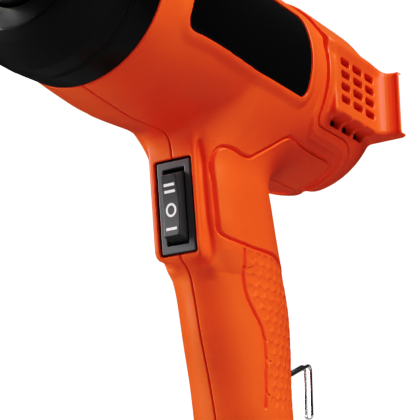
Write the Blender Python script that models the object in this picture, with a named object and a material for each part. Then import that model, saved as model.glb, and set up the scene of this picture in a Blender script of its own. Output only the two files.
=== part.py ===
"""Heat gun, modelled as the assembly it is: two housing halves, rear cap, collar, nozzle, heater,
motor and fan, rocker switch, wiring and a swinging wire hook.

Frame: the nozzle points to -X, the handle hangs down, +Z is up, and the halves meet on Y = 0.
The left half is on the -Y side. The handle's base is at Z = 0 and X = 0 is half way along.
"""
import math

import bmesh
import bpy
from mathutils import Matrix, Vector

MM = 0.001
GAP = 0.3 * MM
WALL = 2.6 * MM
WELD = 0.02 * MM
BODY_SIDES = 40
SMOOTH_ANGLE = 40

# Driving dimensions
LENGTH = 236.5 * MM
AXIS_Z = 143.3 * MM
BODY_R = 36.5 * MM
BODY_FRONT_X = -39.5 * MM
DOME_X = 102.85 * MM
REAR_X = LENGTH / 2
NOZZLE_TIP_X = -LENGTH / 2
NOZZLE_R = 17.2 * MM
COLLAR_FRONT_X = -73.3 * MM
COLLAR_GROOVE_X = -52.2 * MM

# Barrel stations ahead of the dome: place along X and outer radius
BODY_STATIONS = [(-39.5, 35.8), (-25, 37.6), (-11, 38.8), (5, 38.2), (25, 37.0), (45, 36.5), (74, 36.5)]
# Handle sections, from the base up: height, front, rear, half width
HANDLE_STATIONS = [(0, 42.0, 81.0, 18.6), (16, 37.4, 81.6, 18.3), (32, 31.9, 82.9, 18.4),
                   (48, 27.4, 81.9, 18.5), (68, 21.6, 76.0, 18.3), (84, 18.8, 71.5, 18.2),
                   (98, 16.6, 68.1, 18.2), (112, 8.0, 72.0, 20.0), (125, 4.0, 76.0, 21.0)]

# Switch: its face leans back toward the bottom
SWITCH_CENTRE = Vector((16.75 * MM, 0, 78 * MM))
SWITCH_LEAN = math.radians(6.4)
BEZEL_WIDTH = 15.3 * MM
BEZEL_HEIGHT = 35 * MM
ROCKER_WIDTH = 8.8 * MM
ROCKER_HALF_HEIGHT = 12.6 * MM
ROCKER_REACH = 14 * MM
ROCKER_PIVOT_DEPTH = 5 * MM
PIN_R = 1.0 * MM

# Raised block round the switch: half sizes, how far back it starts, its front chamfer and its depth
PROW_HALF_WIDTH = 10.8 * MM
PROW_HALF_HEIGHT = 24 * MM
PROW_FACE = 1.5 * MM
PROW_CHAMFER = 2.2 * MM
PROW_DEPTH = 28 * MM

# Vent pads and feet of the rear cap
PAD_FACE_Y = 36.8 * MM
PAD_FRONT_X = 77.5 * MM
PAD_LOW_Z = 126.5 * MM
PAD_HIGH_Z = 154.5 * MM
FOOT_Y = 46 * MM
FOOT_THICK = 2.9 * MM
CAP_FRONT_X = 71.2 * MM
CAP_LOW_Z = 120.8 * MM
SLOT_ROWS_Z = [(132.7 + 5.35 * row) * MM for row in range(4)]
SLOT_COLUMNS = [(83.0 * MM, 90.0 * MM), (92.6 * MM, 100.8 * MM), (103.3 * MM, 111.0 * MM)]
SLOT_HEIGHT = 3.5 * MM
LOW_HOLES_X = [80 * MM, 90 * MM, 100 * MM]
LOW_HOLE_LENGTH = 8 * MM
FLARE_X = 106.5 * MM
FLARE_R = 9 * MM
BEYOND = 60 * MM

# Label plates let into both flanks
LABEL_FRONT_X = -25 * MM
LABEL_REAR_X = 57.8 * MM
LABEL_HALF_HEIGHT = 17 * MM
LABEL_PROUD = 0.3 * MM
LABEL_DEPTH = 0.9 * MM

# Screw bosses: place along X and height
BOSSES = [(-20, 174.3), (-12, 112.5), (60, 175.5), (95, 111.8), (44, 46), (49.5, 20), (66, 72)]
BOSS_R = 4.6 * MM
BOSS_BORE_R = 1.7 * MM
COUNTERBORE_R = 3.3 * MM
SCREW_HEAD_Y = 10 * MM
SCREW_TIP_Y = -8 * MM
SCREW_HEAD_R = 3 * MM
SCREW_SHANK_R = 1.4 * MM
HEAD_HEIGHT = 2 * MM

# Cable outlet and clamp in the handle's base
OUTLET_X = 58 * MM
GLAND_BORE_R = 4 * MM
GLAND_R = 7.5 * MM
CLAMP_Z = 21 * MM
CLAMP_SCREW_Y = 8.5 * MM
POST_X = (54 * MM, 62.5 * MM)

# Wire hook: pivot, the bend at the end of its arm and the end of its leg
WIRE_R = 0.7 * MM
HOOK_PIVOT = Vector((74 * MM, 0, 16.8 * MM))
HOOK_BEND = Vector((111.5 * MM, 0, 32.4 * MM))
HOOK_LEG = 21 * MM
HOOK_HALF_WIDTH = 1.4 * MM
HOOK_TRUNNION_Y = 8 * MM
HOOK_BEND_REACH = 3.2 * MM
HOOK_INNER_BEND = 0.9 * MM

# Places along the barrel of what it holds
TUBE_R = 24 * MM
ELEMENT_FRONT_X = -62 * MM
FLANGE_X = -29 * MM
FAN_X = 30 * MM
FAN_DEPTH = 11 * MM
FAN_R = 31 * MM
BRACKET_X = 46 * MM
MOTOR_X = 49.3 * MM
MOTOR_LENGTH = 27 * MM
MOTOR_R = 16 * MM
MOTOR_SCREW_Y = 9 * MM
SHAFT_R = 1.5 * MM
BOARD_X = 84 * MM
COIL_R = 21.5 * MM


# ---------------------------------------------------------------- shape tools

def clear_scene():
    for item in list(bpy.data.objects):
        bpy.data.objects.remove(item, do_unlink=True)


def new_object(name, bm):
    bmesh.ops.recalc_face_normals(bm, faces=bm.faces)
    bmesh.ops.triangulate(bm, faces=[face for face in bm.faces if len(face.verts) == 4])
    mesh = bpy.data.meshes.new(name)
    bm.to_mesh(mesh)
    bm.free()
    item = bpy.data.objects.new(name, mesh)
    bpy.context.scene.collection.objects.link(item)
    return item


def loft(name, rings, closed=False):
    """Skin rings of equal length. An open loft gets end caps, a closed one joins its last ring to its first."""
    bm = bmesh.new()
    loops = [[bm.verts.new(point) for point in ring] for ring in rings]
    following = loops[1:] + ([loops[0]] if closed else [])
    for near, far in zip(loops, following):
        for i in range(len(near)):
            j = (i + 1) % len(near)
            bm.faces.new((near[i], near[j], far[j], far[i]))
    if not closed:
        bm.faces.new(loops[0])
        bm.faces.new(loops[-1])
    return new_object(name, bm)


def turned(name, outline, sides=40, closed=False):
    """Turn (x, radius) points about the barrel's axis."""
    rings = []
    for x, radius in outline:
        angles = [2 * math.pi * i / sides for i in range(sides)]
        rings.append([(x, radius * math.sin(a), AXIS_Z + radius * math.cos(a)) for a in angles])
    return loft(name, rings, closed)


def extruded(name, outline, axis, low, high):
    """Extrude a flat outline: (y, z) points along X, (x, z) along Y or (x, y) along Z."""
    def place(point, level):
        point = list(point)
        point.insert("XYZ".index(axis), level)
        return point
    return loft(name, [[place(p, level) for p in outline] for level in (low, high)])


def block(name, low, high):
    outline = [(low[0], low[1]), (high[0], low[1]), (high[0], high[1]), (low[0], high[1])]
    return extruded(name, outline, "Z", low[2], high[2])


def rod(name, start, end, radius, sides=16):
    """Cylinder between two points."""
    start, end = Vector(start), Vector(end)
    turn = (end - start).to_track_quat("Z", "X").to_matrix()
    rings = []
    for point in (start, end):
        angles = [2 * math.pi * i / sides for i in range(sides)]
        rings.append([point + turn @ Vector((radius * math.cos(a), radius * math.sin(a), 0)) for a in angles])
    return loft(name, rings)


def swept(name, points, radius, sides=8):
    """Round wire along points."""
    points = [Vector(p) for p in points]
    rings = []
    side = (points[1] - points[0]).orthogonal().normalized()
    for i, point in enumerate(points):
        along = (points[min(i + 1, len(points) - 1)] - points[max(i - 1, 0)]).normalized()
        side = (side - along * side.dot(along)).normalized()
        other = along.cross(side)
        angles = [2 * math.pi * k / sides for k in range(sides)]
        rings.append([point + radius * (side * math.cos(a) + other * math.sin(a)) for a in angles])
    return loft(name, rings)


def arc(centre, radius, start, end, steps):
    """Points of a flat arc, angles in degrees."""
    angles = [math.radians(start + (end - start) * i / steps) for i in range(steps + 1)]
    return [(centre[0] + radius * math.cos(a), centre[1] + radius * math.sin(a)) for a in angles]


def rounded_rectangle(low, high, radius, steps=4):
    corners = [((high[0] - radius, high[1] - radius), 0), ((low[0] + radius, high[1] - radius), 90),
               ((low[0] + radius, low[1] + radius), 180), ((high[0] - radius, low[1] + radius), 270)]
    outline = []
    for centre, start in corners:
        outline += arc(centre, radius, start, start + 90, steps)
    return outline


def smooth_path(points, steps=4):
    """Catmull-Rom curve through points."""
    points = [Vector(p) for p in points]
    padded = [2 * points[0] - points[1]] + points + [2 * points[-1] - points[-2]]
    path = []
    for a, b, c, d in zip(padded, padded[1:], padded[2:], padded[3:]):
        for i in range(steps):
            t = i / steps
            path.append(0.5 * (2 * b + (c - a) * t + (2 * a - 5 * b + 4 * c - d) * t * t
                               + (3 * b - a - 3 * c + d) * t ** 3))
    return path + [points[-1]]


def is_closed(mesh):
    bm = bmesh.new()
    bm.from_mesh(mesh)
    closed = all(edge.is_manifold for edge in bm.edges)
    bm.free()
    return closed


def combine(target, operation, *tools):
    """Boolean the tools into the target and remove them. MANIFOLD steps in where EXACT leaves a hole."""
    for tool in tools:
        modifier = target.modifiers.new(operation.title(), "BOOLEAN")
        modifier.operation = operation
        modifier.object = tool
        for solver in ("EXACT", "MANIFOLD"):
            modifier.solver = solver
            bpy.context.view_layer.update()
            evaluated = target.evaluated_get(bpy.context.evaluated_depsgraph_get())
            result = bpy.data.meshes.new_from_object(evaluated)
            if is_closed(result):
                break
        target.modifiers.clear()
        target.data = result
        bpy.data.objects.remove(tool, do_unlink=True)
    return target


def moved(item, matrix):
    item.data.transform(matrix)
    return item


def copied(item, name):
    twin = bpy.data.objects.new(name, item.data.copy())
    bpy.context.scene.collection.objects.link(twin)
    return twin


def merge_flat_faces(item):
    """Weld corners that the cuts left in one place, and join neighbouring faces that lie in one plane."""
    bm = bmesh.new()
    bm.from_mesh(item.data)
    bmesh.ops.remove_doubles(bm, verts=bm.verts, dist=WELD)
    bmesh.ops.dissolve_degenerate(bm, edges=bm.edges, dist=WELD)
    bmesh.ops.dissolve_limit(bm, angle_limit=math.radians(0.6), verts=bm.verts, edges=bm.edges)
    bm.to_mesh(item.data)
    bm.free()


def finish(item, name, surface):
    """Name the node and its mesh, give it its material and shade its round faces smooth."""
    merge_flat_faces(item)
    item.name = name
    item.data.name = name
    item.data.materials.clear()
    item.data.materials.append(surface)
    item.data.shade_smooth()
    item.data.set_sharp_from_angle(angle=math.radians(SMOOTH_ANGLE))
    return item


def material(name, colour, roughness, metallic=0.0):
    surface = bpy.data.materials.new(name)
    surface.use_nodes = True
    shader = surface.node_tree.nodes["Principled BSDF"]
    shader.inputs["Base Color"].default_value = (*colour, 1)
    shader.inputs["Roughness"].default_value = roughness
    shader.inputs["Metallic"].default_value = metallic
    return surface


# ---------------------------------------------------------------- housing

def body_profile(inset, front, rear):
    """Barrel and dome outline, inset from the outer surface, between two places along X."""
    def radius_at(x):
        if x > DOME_X:
            return math.sqrt(BODY_R ** 2 - (x - DOME_X) ** 2)
        stations = [(sx * MM, sr * MM) for sx, sr in BODY_STATIONS]
        for (x0, r0), (x1, r1) in zip(stations, stations[1:]):
            if x <= x1:
                return r0 + (r1 - r0) * (x - x0) / (x1 - x0)
        return BODY_R
    places = [sx * MM for sx, _ in BODY_STATIONS] + [DOME_X - 9 * MM, DOME_X, DOME_X + 6 * MM, DOME_X + 11 * MM]
    inner = [x for x in places if front + 0.1 * MM < x < rear - 0.1 * MM]
    return [(x, radius_at(x) - inset) for x in [front] + inner + [rear]]


def handle_loft(name, inset):
    rings = []
    for i, (z, front, rear, half_width) in enumerate(HANDLE_STATIONS):
        level = z * MM + (inset if i == 0 else 0)
        centre = (front + rear) / 2 * MM
        half_depth = (rear - front) / 2 * MM - inset
        angles = [2 * math.pi * k / BODY_SIDES for k in range(BODY_SIDES)]
        rings.append([(centre + half_depth * math.cos(a), (half_width * MM - inset) * math.sin(a), level)
                      for a in angles])
    return loft(name, rings)


def in_switch_frame(item):
    """Local X runs into the handle, local Z up the switch's face."""
    return moved(item, Matrix.Translation(SWITCH_CENTRE) @ Matrix.Rotation(-SWITCH_LEAN, 4, "Y"))


def switch_prow(name, inset):
    """Raised block that the switch sits in, with a chamfered front edge."""
    front = PROW_FACE + inset
    rings = []
    for depth, trim in ((front, PROW_CHAMFER), (front + PROW_CHAMFER, 0), (PROW_DEPTH - inset, 0)):
        half_width = PROW_HALF_WIDTH - inset - trim
        half_height = PROW_HALF_HEIGHT - inset - trim
        outline = rounded_rectangle((-half_width, -half_height), (half_width, half_height), 3 * MM, 3)
        rings.append([(depth, y, z) for y, z in outline])
    return in_switch_frame(loft(name, rings))


def cap_outline():
    """Side view of the region that the rear cap fills: behind its front edge and above its lower edge."""
    corner = arc((CAP_FRONT_X + 4 * MM, CAP_LOW_Z + 4 * MM), 4 * MM, 180, 270, 4)
    sweep = arc((94 * MM, 104.6 * MM), 16.2 * MM, 90, 15, 8)
    rear, top = REAR_X + BEYOND, AXIS_Z + BEYOND
    return [(CAP_FRONT_X, top)] + corner + sweep + [(109.8 * MM, 95 * MM), (rear, 95 * MM), (rear, top)]


def pad_outline(inset):
    """Plan view of both vent pads and their feet, flaring out to the foot at the rear."""
    face = PAD_FACE_Y - inset
    if inset:
        half = [(PAD_FRONT_X + inset, face), (DOME_X + 8 * MM, face)]
    else:
        flare = arc((FLARE_X, face + FLARE_R), FLARE_R, 270, 355, 6)
        half = [(PAD_FRONT_X, face - 1 * MM), (PAD_FRONT_X + 1 * MM, face)] + flare
        half += [(REAR_X - FOOT_THICK, FOOT_Y), (REAR_X, FOOT_Y)]
    return half + [(x, -y) for x, y in reversed(half)]


def rear_cap():
    cap = turned("rear_cap", body_profile(0, 60 * MM, REAR_X), BODY_SIDES)
    combine(cap, "UNION", extruded("pads", pad_outline(0), "Z", PAD_LOW_Z, PAD_HIGH_Z))
    hollow = turned("hollow", body_profile(WALL, 50 * MM, REAR_X - WALL), BODY_SIDES)
    combine(hollow, "UNION",
            extruded("pad_hollow", pad_outline(WALL), "Z", PAD_LOW_Z + WALL, PAD_HIGH_Z - WALL))
    combine(cap, "DIFFERENCE", hollow)
    combine(cap, "INTERSECT", extruded("region", cap_outline(), "Y", -BEYOND, BEYOND))
    for side in (-1, 1):
        near, far = sorted((side * 28 * MM, side * BEYOND))
        for start, end in SLOT_COLUMNS:
            for level in SLOT_ROWS_Z:
                outline = rounded_rectangle((start, level - SLOT_HEIGHT / 2), (end, level + SLOT_HEIGHT / 2),
                                            0.8 * MM, 1)
                combine(cap, "DIFFERENCE", extruded("slot", outline, "Y", near, far))
        for start in LOW_HOLES_X:
            hole = block("hole", (start, near, CAP_LOW_Z + 1.5 * MM),
                         (start + LOW_HOLE_LENGTH, far, PAD_LOW_Z - 1 * MM))
            combine(cap, "DIFFERENCE", hole)
    return cap


def housing_shell():
    """Both halves in one piece, with the switch's opening and the cable outlet."""
    shell = turned("shell", body_profile(0, BODY_FRONT_X, REAR_X), BODY_SIDES)
    combine(shell, "UNION", handle_loft("handle", 0), switch_prow("prow", 0))
    hollow = turned("hollow", body_profile(WALL, BODY_FRONT_X - 1 * MM, REAR_X - WALL), BODY_SIDES)
    combine(hollow, "UNION", handle_loft("handle_hollow", WALL), switch_prow("prow_hollow", 2 * MM))
    combine(shell, "DIFFERENCE", hollow)
    region = moved(extruded("region", cap_outline(), "Y", -BEYOND, BEYOND),
                   Matrix.Translation((-GAP, 0, -GAP)))
    combine(shell, "DIFFERENCE", region)
    opening = block("opening", (-4 * MM, -6.5 * MM, -15.4 * MM), (12 * MM, 6.5 * MM, 15.4 * MM))
    outlet = rod("outlet", (OUTLET_X, 0, -5 * MM), (OUTLET_X, 0, 10 * MM), GLAND_R + GAP, 24)
    return combine(shell, "DIFFERENCE", in_switch_frame(opening), outlet)


def label_outline(grow):
    return rounded_rectangle((LABEL_FRONT_X - grow, AXIS_Z - LABEL_HALF_HEIGHT - grow),
                             (LABEL_REAR_X + grow, AXIS_Z + LABEL_HALF_HEIGHT + grow), 4 * MM + grow)


def barrel_core(name, inset):
    """Solid that follows the barrel under the label, at some depth below its surface."""
    return turned(name, body_profile(inset, BODY_FRONT_X, 70 * MM), 64)


def label_plate(side):
    """Thin plate that follows the barrel, standing slightly proud of it."""
    near, far = sorted((side * 20 * MM, side * BEYOND))
    plate = extruded("label", label_outline(0), "Y", near, far)
    combine(plate, "INTERSECT", barrel_core("outer", -LABEL_PROUD))
    return combine(plate, "DIFFERENCE", barrel_core("inner", LABEL_DEPTH))


def label_pocket(side):
    """Recess for the plate, a gap deeper than the plate and wider all round."""
    near, far = sorted((side * 20 * MM, side * BEYOND))
    pocket = extruded("pocket", label_outline(GAP), "Y", near, far)
    return combine(pocket, "DIFFERENCE", barrel_core("floor", LABEL_DEPTH + GAP))


def across(name, x, z, start, end, radius, sides=16):
    """Rod along Y at a place along X and a height."""
    return rod(name, (x, start, z), (x, end, z), radius, sides)


def add_posts(half, side):
    """Screw bosses, hook trunnion bearing and clamp post of one half, joined to its wall."""
    envelope = turned("envelope", body_profile(WALL / 2, BODY_FRONT_X, REAR_X - WALL), BODY_SIDES)
    combine(envelope, "UNION", handle_loft("envelope_handle", WALL / 2))
    inner, outer = side * (GAP / 2 + 0.1 * MM), side * BEYOND
    posts = [across("boss", x * MM, z * MM, inner, outer, BOSS_R) for x, z in BOSSES]
    posts.append(across("bearing", HOOK_PIVOT.x, HOOK_PIVOT.z, side * 2.5 * MM, outer, 3.2 * MM))
    near, far = sorted((side * 5.5 * MM, outer))
    posts.append(block("post", (POST_X[0], near, CLAMP_Z - 4 * MM), (POST_X[1], far, CLAMP_Z + 4 * MM)))
    for post in posts:
        combine(half, "UNION", combine(post, "INTERSECT", copied(envelope, "trim")))
    bpy.data.objects.remove(envelope, do_unlink=True)
    return half


def drill_posts(half, side):
    """Screw holes through the bosses, the trunnion's bearing and the clamp screw's pilot."""
    for x, z in BOSSES:
        bore = across("bore", x * MM, z * MM, SCREW_TIP_Y - 1 * MM, SCREW_HEAD_Y + 2 * MM, BOSS_BORE_R, 12)
        combine(half, "DIFFERENCE", bore)
        if side > 0:
            counterbore = across("counterbore", x * MM, z * MM, SCREW_HEAD_Y, BEYOND, COUNTERBORE_R)
            combine(half, "DIFFERENCE", counterbore)
    trunnion_end = side * (HOOK_TRUNNION_Y + 0.5 * MM)
    bearing = across("trunnion_bore", HOOK_PIVOT.x, HOOK_PIVOT.z, 0, trunnion_end, WIRE_R + 0.15 * MM, 12)
    y = side * CLAMP_SCREW_Y
    pilot = rod("pilot", (POST_X[0] + 1 * MM, y, CLAMP_Z), (POST_X[1] + 8 * MM, y, CLAMP_Z), 1.35 * MM, 12)
    return combine(half, "DIFFERENCE", bearing, pilot)


def housing_half(shell, side):
    near, far = sorted((side * GAP / 2, side * BEYOND))
    half = copied(shell, "half")
    combine(half, "INTERSECT", block("side", (-LENGTH, near, -BEYOND), (LENGTH, far, AXIS_Z + BEYOND)))
    hook_slot = block("hook_slot", (77 * MM, -2.5 * MM, 9.8 * MM), (90 * MM, 2.5 * MM, 22.8 * MM))
    combine(half, "DIFFERENCE", hook_slot, label_pocket(side))
    return drill_posts(add_posts(half, side), side)


def front_collar():
    """Black nose ring with a groove behind its swell and a spigot inside the housing."""
    rim = BODY_FRONT_X - GAP
    spigot = 32.6 * MM
    outline = [(rim, spigot), (rim, 35.7 * MM), (COLLAR_GROOVE_X + 1.2 * MM, 36.2 * MM),
               (COLLAR_GROOVE_X, 35.2 * MM), (COLLAR_GROOVE_X - 1.2 * MM, 36.3 * MM), (-60 * MM, 36.0 * MM),
               (-66 * MM, 33.5 * MM), (-71 * MM, 29.5 * MM), (COLLAR_FRONT_X, 26.0 * MM),
               (COLLAR_FRONT_X, NOZZLE_R + 1 * MM), (COLLAR_FRONT_X + 2 * MM, NOZZLE_R + 1 * MM),
               (COLLAR_FRONT_X + 2.2 * MM, 24.5 * MM), (-65 * MM, 30.3 * MM), (-59 * MM, 32.6 * MM),
               (rim - 4 * MM, 32.4 * MM), (rim - 4 * MM, 30.4 * MM), (rim + 6 * MM, 30.4 * MM),
               (rim + 6 * MM, spigot)]
    return turned("front_collar", outline, 32, closed=True)


# ---------------------------------------------------------------- heater

def nozzle():
    """Steel outlet tube that widens inside the collar to hold the heater."""
    wall = 0.8 * MM
    outer = [(NOZZLE_TIP_X, NOZZLE_R), (-70.9 * MM, NOZZLE_R), (-66 * MM, TUBE_R - 1 * MM),
             (-64.5 * MM, TUBE_R), (FLANGE_X - GAP, TUBE_R)]
    inner = [(x, r - wall) for x, r in reversed(outer)]
    return turned("nozzle", outer + inner, 40, closed=True)


def sleeve(name, front, rear, outer, wall):
    outline = [(front, outer), (rear, outer), (rear, outer - wall), (front, outer - wall)]
    return turned(name, outline, 40, closed=True)


def element_core():
    """Two crossed mica plates that carry the windings."""
    reach, half_plate = 19.8 * MM, 0.5 * MM
    quarter = [(half_plate, reach), (half_plate, half_plate), (reach, half_plate)]
    outline = []
    for turn in range(4):
        angle = -turn * math.pi / 2
        for y, z in quarter:
            outline.append((y * math.cos(angle) - z * math.sin(angle),
                            AXIS_Z + y * math.sin(angle) + z * math.cos(angle)))
    return extruded("element_core", outline, "X", ELEMENT_FRONT_X, FLANGE_X + 2 * MM)


def heater_coil(name, front, turns, pitch):
    steps = 12
    points = []
    for i in range(turns * steps + 1):
        angle = 2 * math.pi * i / steps
        points.append((front + pitch * i / steps, COIL_R * math.sin(angle), AXIS_Z + COIL_R * math.cos(angle)))
    return swept(name, points, 0.4 * MM, 5)


# ---------------------------------------------------------------- switch

def switch_body():
    half_height = BEZEL_HEIGHT / 2
    body = extruded("switch_body", rounded_rectangle((-BEZEL_WIDTH / 2, -half_height),
                                                     (BEZEL_WIDTH / 2, half_height), 1 * MM, 2),
                    "X", -0.4 * MM, 1.2 * MM)
    combine(body, "UNION", block("box", (0.5 * MM, -6.1 * MM, -15 * MM), (22 * MM, 6.1 * MM, 15 * MM)))
    pocket_half = ROCKER_WIDTH / 2 + GAP
    combine(body, "DIFFERENCE", block("pocket", (-2 * MM, -pocket_half, -14.3 * MM),
                                      (9.5 * MM, pocket_half, 14.3 * MM)))
    pin = PIN_R + 0.15 * MM
    combine(body, "DIFFERENCE", rod("pin_hole", (ROCKER_PIVOT_DEPTH, -5.5 * MM, 0),
                                    (ROCKER_PIVOT_DEPTH, 5.5 * MM, 0), pin, 12))
    return in_switch_frame(body)


def rocker():
    """Rocker whose ends follow a circle about its pivot, so it tilts without touching its pocket."""
    end = math.degrees(math.asin(ROCKER_HALF_HEIGHT / ROCKER_REACH))
    lower = arc((0, 0), ROCKER_REACH, 180 + end, 270, 4)
    upper = arc((0, 0), ROCKER_REACH, 90, 180 - end, 4)
    levels = [z * MM for z in (9, 6, 3, 0, -3, -6, -9)]
    crown = [(-8.4 * MM + 2.2 * MM * (z / ROCKER_HALF_HEIGHT) ** 2, z) for z in levels]
    outline = upper + crown + lower + [(1.5 * MM, -8 * MM), (1.5 * MM, 8 * MM)]
    half = ROCKER_WIDTH / 2
    body = extruded("rocker", outline, "Y", -half, half)
    combine(body, "UNION", rod("pin", (0, -half - 0.8 * MM, 0), (0, half + 0.8 * MM, 0), PIN_R, 12))
    depth = Matrix.Rotation(-SWITCH_LEAN, 3, "Y") @ Vector((ROCKER_PIVOT_DEPTH, 0, 0))
    body.location = SWITCH_CENTRE + depth
    body.rotation_euler = (0, -SWITCH_LEAN, 0)
    return body


def switch_terminal(name, level):
    return in_switch_frame(block(name, (22.3 * MM, -2.4 * MM, level - 0.4 * MM),
                                 (30 * MM, 2.4 * MM, level + 0.4 * MM)))


# ---------------------------------------------------------------- motor and fan

def fan_blade(turn):
    """Twisted blade, flatter toward its tip."""
    rings = []
    for radius, pitch, chord in ((7, 58, 10), (14, 48, 12), (22, 39, 14), (31, 32, 16)):
        lean = math.radians(pitch)
        along = Vector((math.sin(lean), math.cos(lean), 0)) * chord / 2 * MM
        across = Vector((math.cos(lean), -math.sin(lean), 0)) * 0.6 * MM
        corners = [along + across, -along + across, -along - across, along - across]
        rings.append([c + Vector((0, 0, min(radius * MM, FAN_R - 0.4 * MM))) for c in corners])
    blade = loft("blade", rings)
    place = Matrix.Translation((FAN_X + FAN_DEPTH / 2, 0, AXIS_Z)) @ Matrix.Rotation(turn, 4, "X")
    return moved(blade, place)


def fan_impeller():
    bore = SHAFT_R + 0.1 * MM
    hub = [(FAN_X, 8 * MM), (FAN_X + 2 * MM, 10 * MM), (FAN_X + FAN_DEPTH, 10 * MM),
           (FAN_X + FAN_DEPTH, bore), (FAN_X, bore)]
    fan = turned("fan_impeller", hub, 24, closed=True)
    for i in range(7):
        combine(fan, "UNION", fan_blade(2 * math.pi * i / 7))
    return on_axis(fan)


def on_axis(item):
    """Put a spinning piece's origin on the motor's axis."""
    centre = Vector((MOTOR_X, 0, AXIS_Z))
    moved(item, Matrix.Translation(-centre))
    item.location = centre
    return item


def motor_bracket():
    """Disc that carries the motor, with openings for the air."""
    disc = turned("motor_bracket", [(BRACKET_X, 33.5 * MM), (BRACKET_X + 3 * MM, 33.5 * MM)], 40)
    start, end = BRACKET_X - 5 * MM, BRACKET_X + 8 * MM
    cutters = [rod("bearing_hole", (start, 0, AXIS_Z), (end, 0, AXIS_Z), 4 * MM, 16)]
    for i in range(8):
        angle = 2 * math.pi * (i + 0.5) / 8
        y, z = 24.5 * MM * math.sin(angle), AXIS_Z + 24.5 * MM * math.cos(angle)
        cutters.append(rod("air_hole", (start, y, z), (end, y, z), 6.6 * MM, 16))
    for side in (-1, 1):
        y = side * MOTOR_SCREW_Y
        cutters.append(rod("screw_hole", (start, y, AXIS_Z), (end, y, AXIS_Z), 1.6 * MM, 12))
    return combine(disc, "DIFFERENCE", *cutters)


def motor_can():
    """Steel cup, open to the rear, with a hole for the front bearing and two screw holes."""
    wall = 1 * MM
    front, rear = MOTOR_X, MOTOR_X + MOTOR_LENGTH
    hole = 3.2 * MM
    outline = [(front, hole), (front, MOTOR_R - 1 * MM), (front + 1 * MM, MOTOR_R), (rear, MOTOR_R),
               (rear, MOTOR_R - wall), (front + wall, MOTOR_R - wall), (front + wall, hole)]
    can = turned("motor_can", outline, 32, closed=True)
    for side in (-1, 1):
        y = side * MOTOR_SCREW_Y
        combine(can, "DIFFERENCE", rod("screw_hole", (front - 2 * MM, y, AXIS_Z), (front + 3 * MM, y, AXIS_Z),
                                       1.5 * MM, 12))
    return can


def motor_magnet(name, side):
    """Arc magnet lining one flank of the can."""
    outer = arc((0, 0), MOTOR_R - 1.3 * MM, -60, 60, 8)
    inner = arc((0, 0), 11.4 * MM, 60, -60, 8)
    outline = [(side * y, AXIS_Z + z) for y, z in outer + inner]
    return extruded(name, outline, "X", MOTOR_X + 4 * MM, MOTOR_X + MOTOR_LENGTH - 4 * MM)


def armature():
    """Five-pole laminated core."""
    outline = []
    for pole in range(5):
        middle = 72 * pole
        outline += arc((0, AXIS_Z), 10.6 * MM, middle - 31, middle + 31, 4)
        outline += arc((0, AXIS_Z), 4.6 * MM, middle + 31, middle + 41, 1)
    core = extruded("armature", outline, "X", MOTOR_X + 6 * MM, MOTOR_X + MOTOR_LENGTH - 6 * MM)
    combine(core, "DIFFERENCE", rod("bore", (MOTOR_X, 0, AXIS_Z), (MOTOR_X + 40 * MM, 0, AXIS_Z),
                                    SHAFT_R + 0.1 * MM, 16))
    return on_axis(core)


def bearing(name, front):
    outline = [(front, 2.9 * MM), (front + 3 * MM, 2.9 * MM), (front + 3 * MM, SHAFT_R + 0.08 * MM),
               (front, SHAFT_R + 0.08 * MM)]
    return turned(name, outline, 20, closed=True)


def motor_end_cap():
    front = MOTOR_X + MOTOR_LENGTH + GAP
    rear = front + 3 * MM
    outline = [(front, 3.2 * MM), (front, MOTOR_R), (rear, MOTOR_R - 1 * MM), (rear, 3.2 * MM)]
    return turned("motor_end_cap", outline, 32, closed=True)


def cross_screw(name, head, tip, head_r, shank_r):
    """Pan-head screw from the back of its head to its tip."""
    head, tip = Vector(head), Vector(tip)
    along = (tip - head).normalized()
    under = head + along * HEAD_HEIGHT
    screw = rod(name, head, under, head_r, 16)
    return combine(screw, "UNION", rod("shank", under - along * 0.5 * MM, tip, shank_r, 12))


# ---------------------------------------------------------------- handle fittings

def cable_gland():
    """Rubber bush for the mains cable, with a flange inside the base."""
    floor = WALL + GAP
    flange = GLAND_R + 2 * MM
    outline = [(0.2 * MM, GLAND_R), (floor, GLAND_R), (floor, flange), (floor + 2 * MM, flange),
               (floor + 2.2 * MM, GLAND_R - 1 * MM), (13 * MM, GLAND_R - 1.8 * MM), (13 * MM, GLAND_BORE_R),
               (0.2 * MM, GLAND_BORE_R)]
    sides = 24
    angles = [2 * math.pi * i / sides for i in range(sides)]
    rings = [[(OUTLET_X + r * math.cos(a), r * math.sin(a), z) for a in angles] for z, r in outline]
    return loft("cable_gland", rings, closed=True)


def cord_clamp():
    plate = block("cord_clamp", (62.8 * MM, -11.5 * MM, CLAMP_Z - 3.5 * MM),
                  (65.3 * MM, 11.5 * MM, CLAMP_Z + 3.5 * MM))
    for side in (-1, 1):
        y = side * CLAMP_SCREW_Y
        combine(plate, "DIFFERENCE", rod("hole", (60 * MM, y, CLAMP_Z), (68 * MM, y, CLAMP_Z), 1.5 * MM, 12))
    return plate


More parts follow.
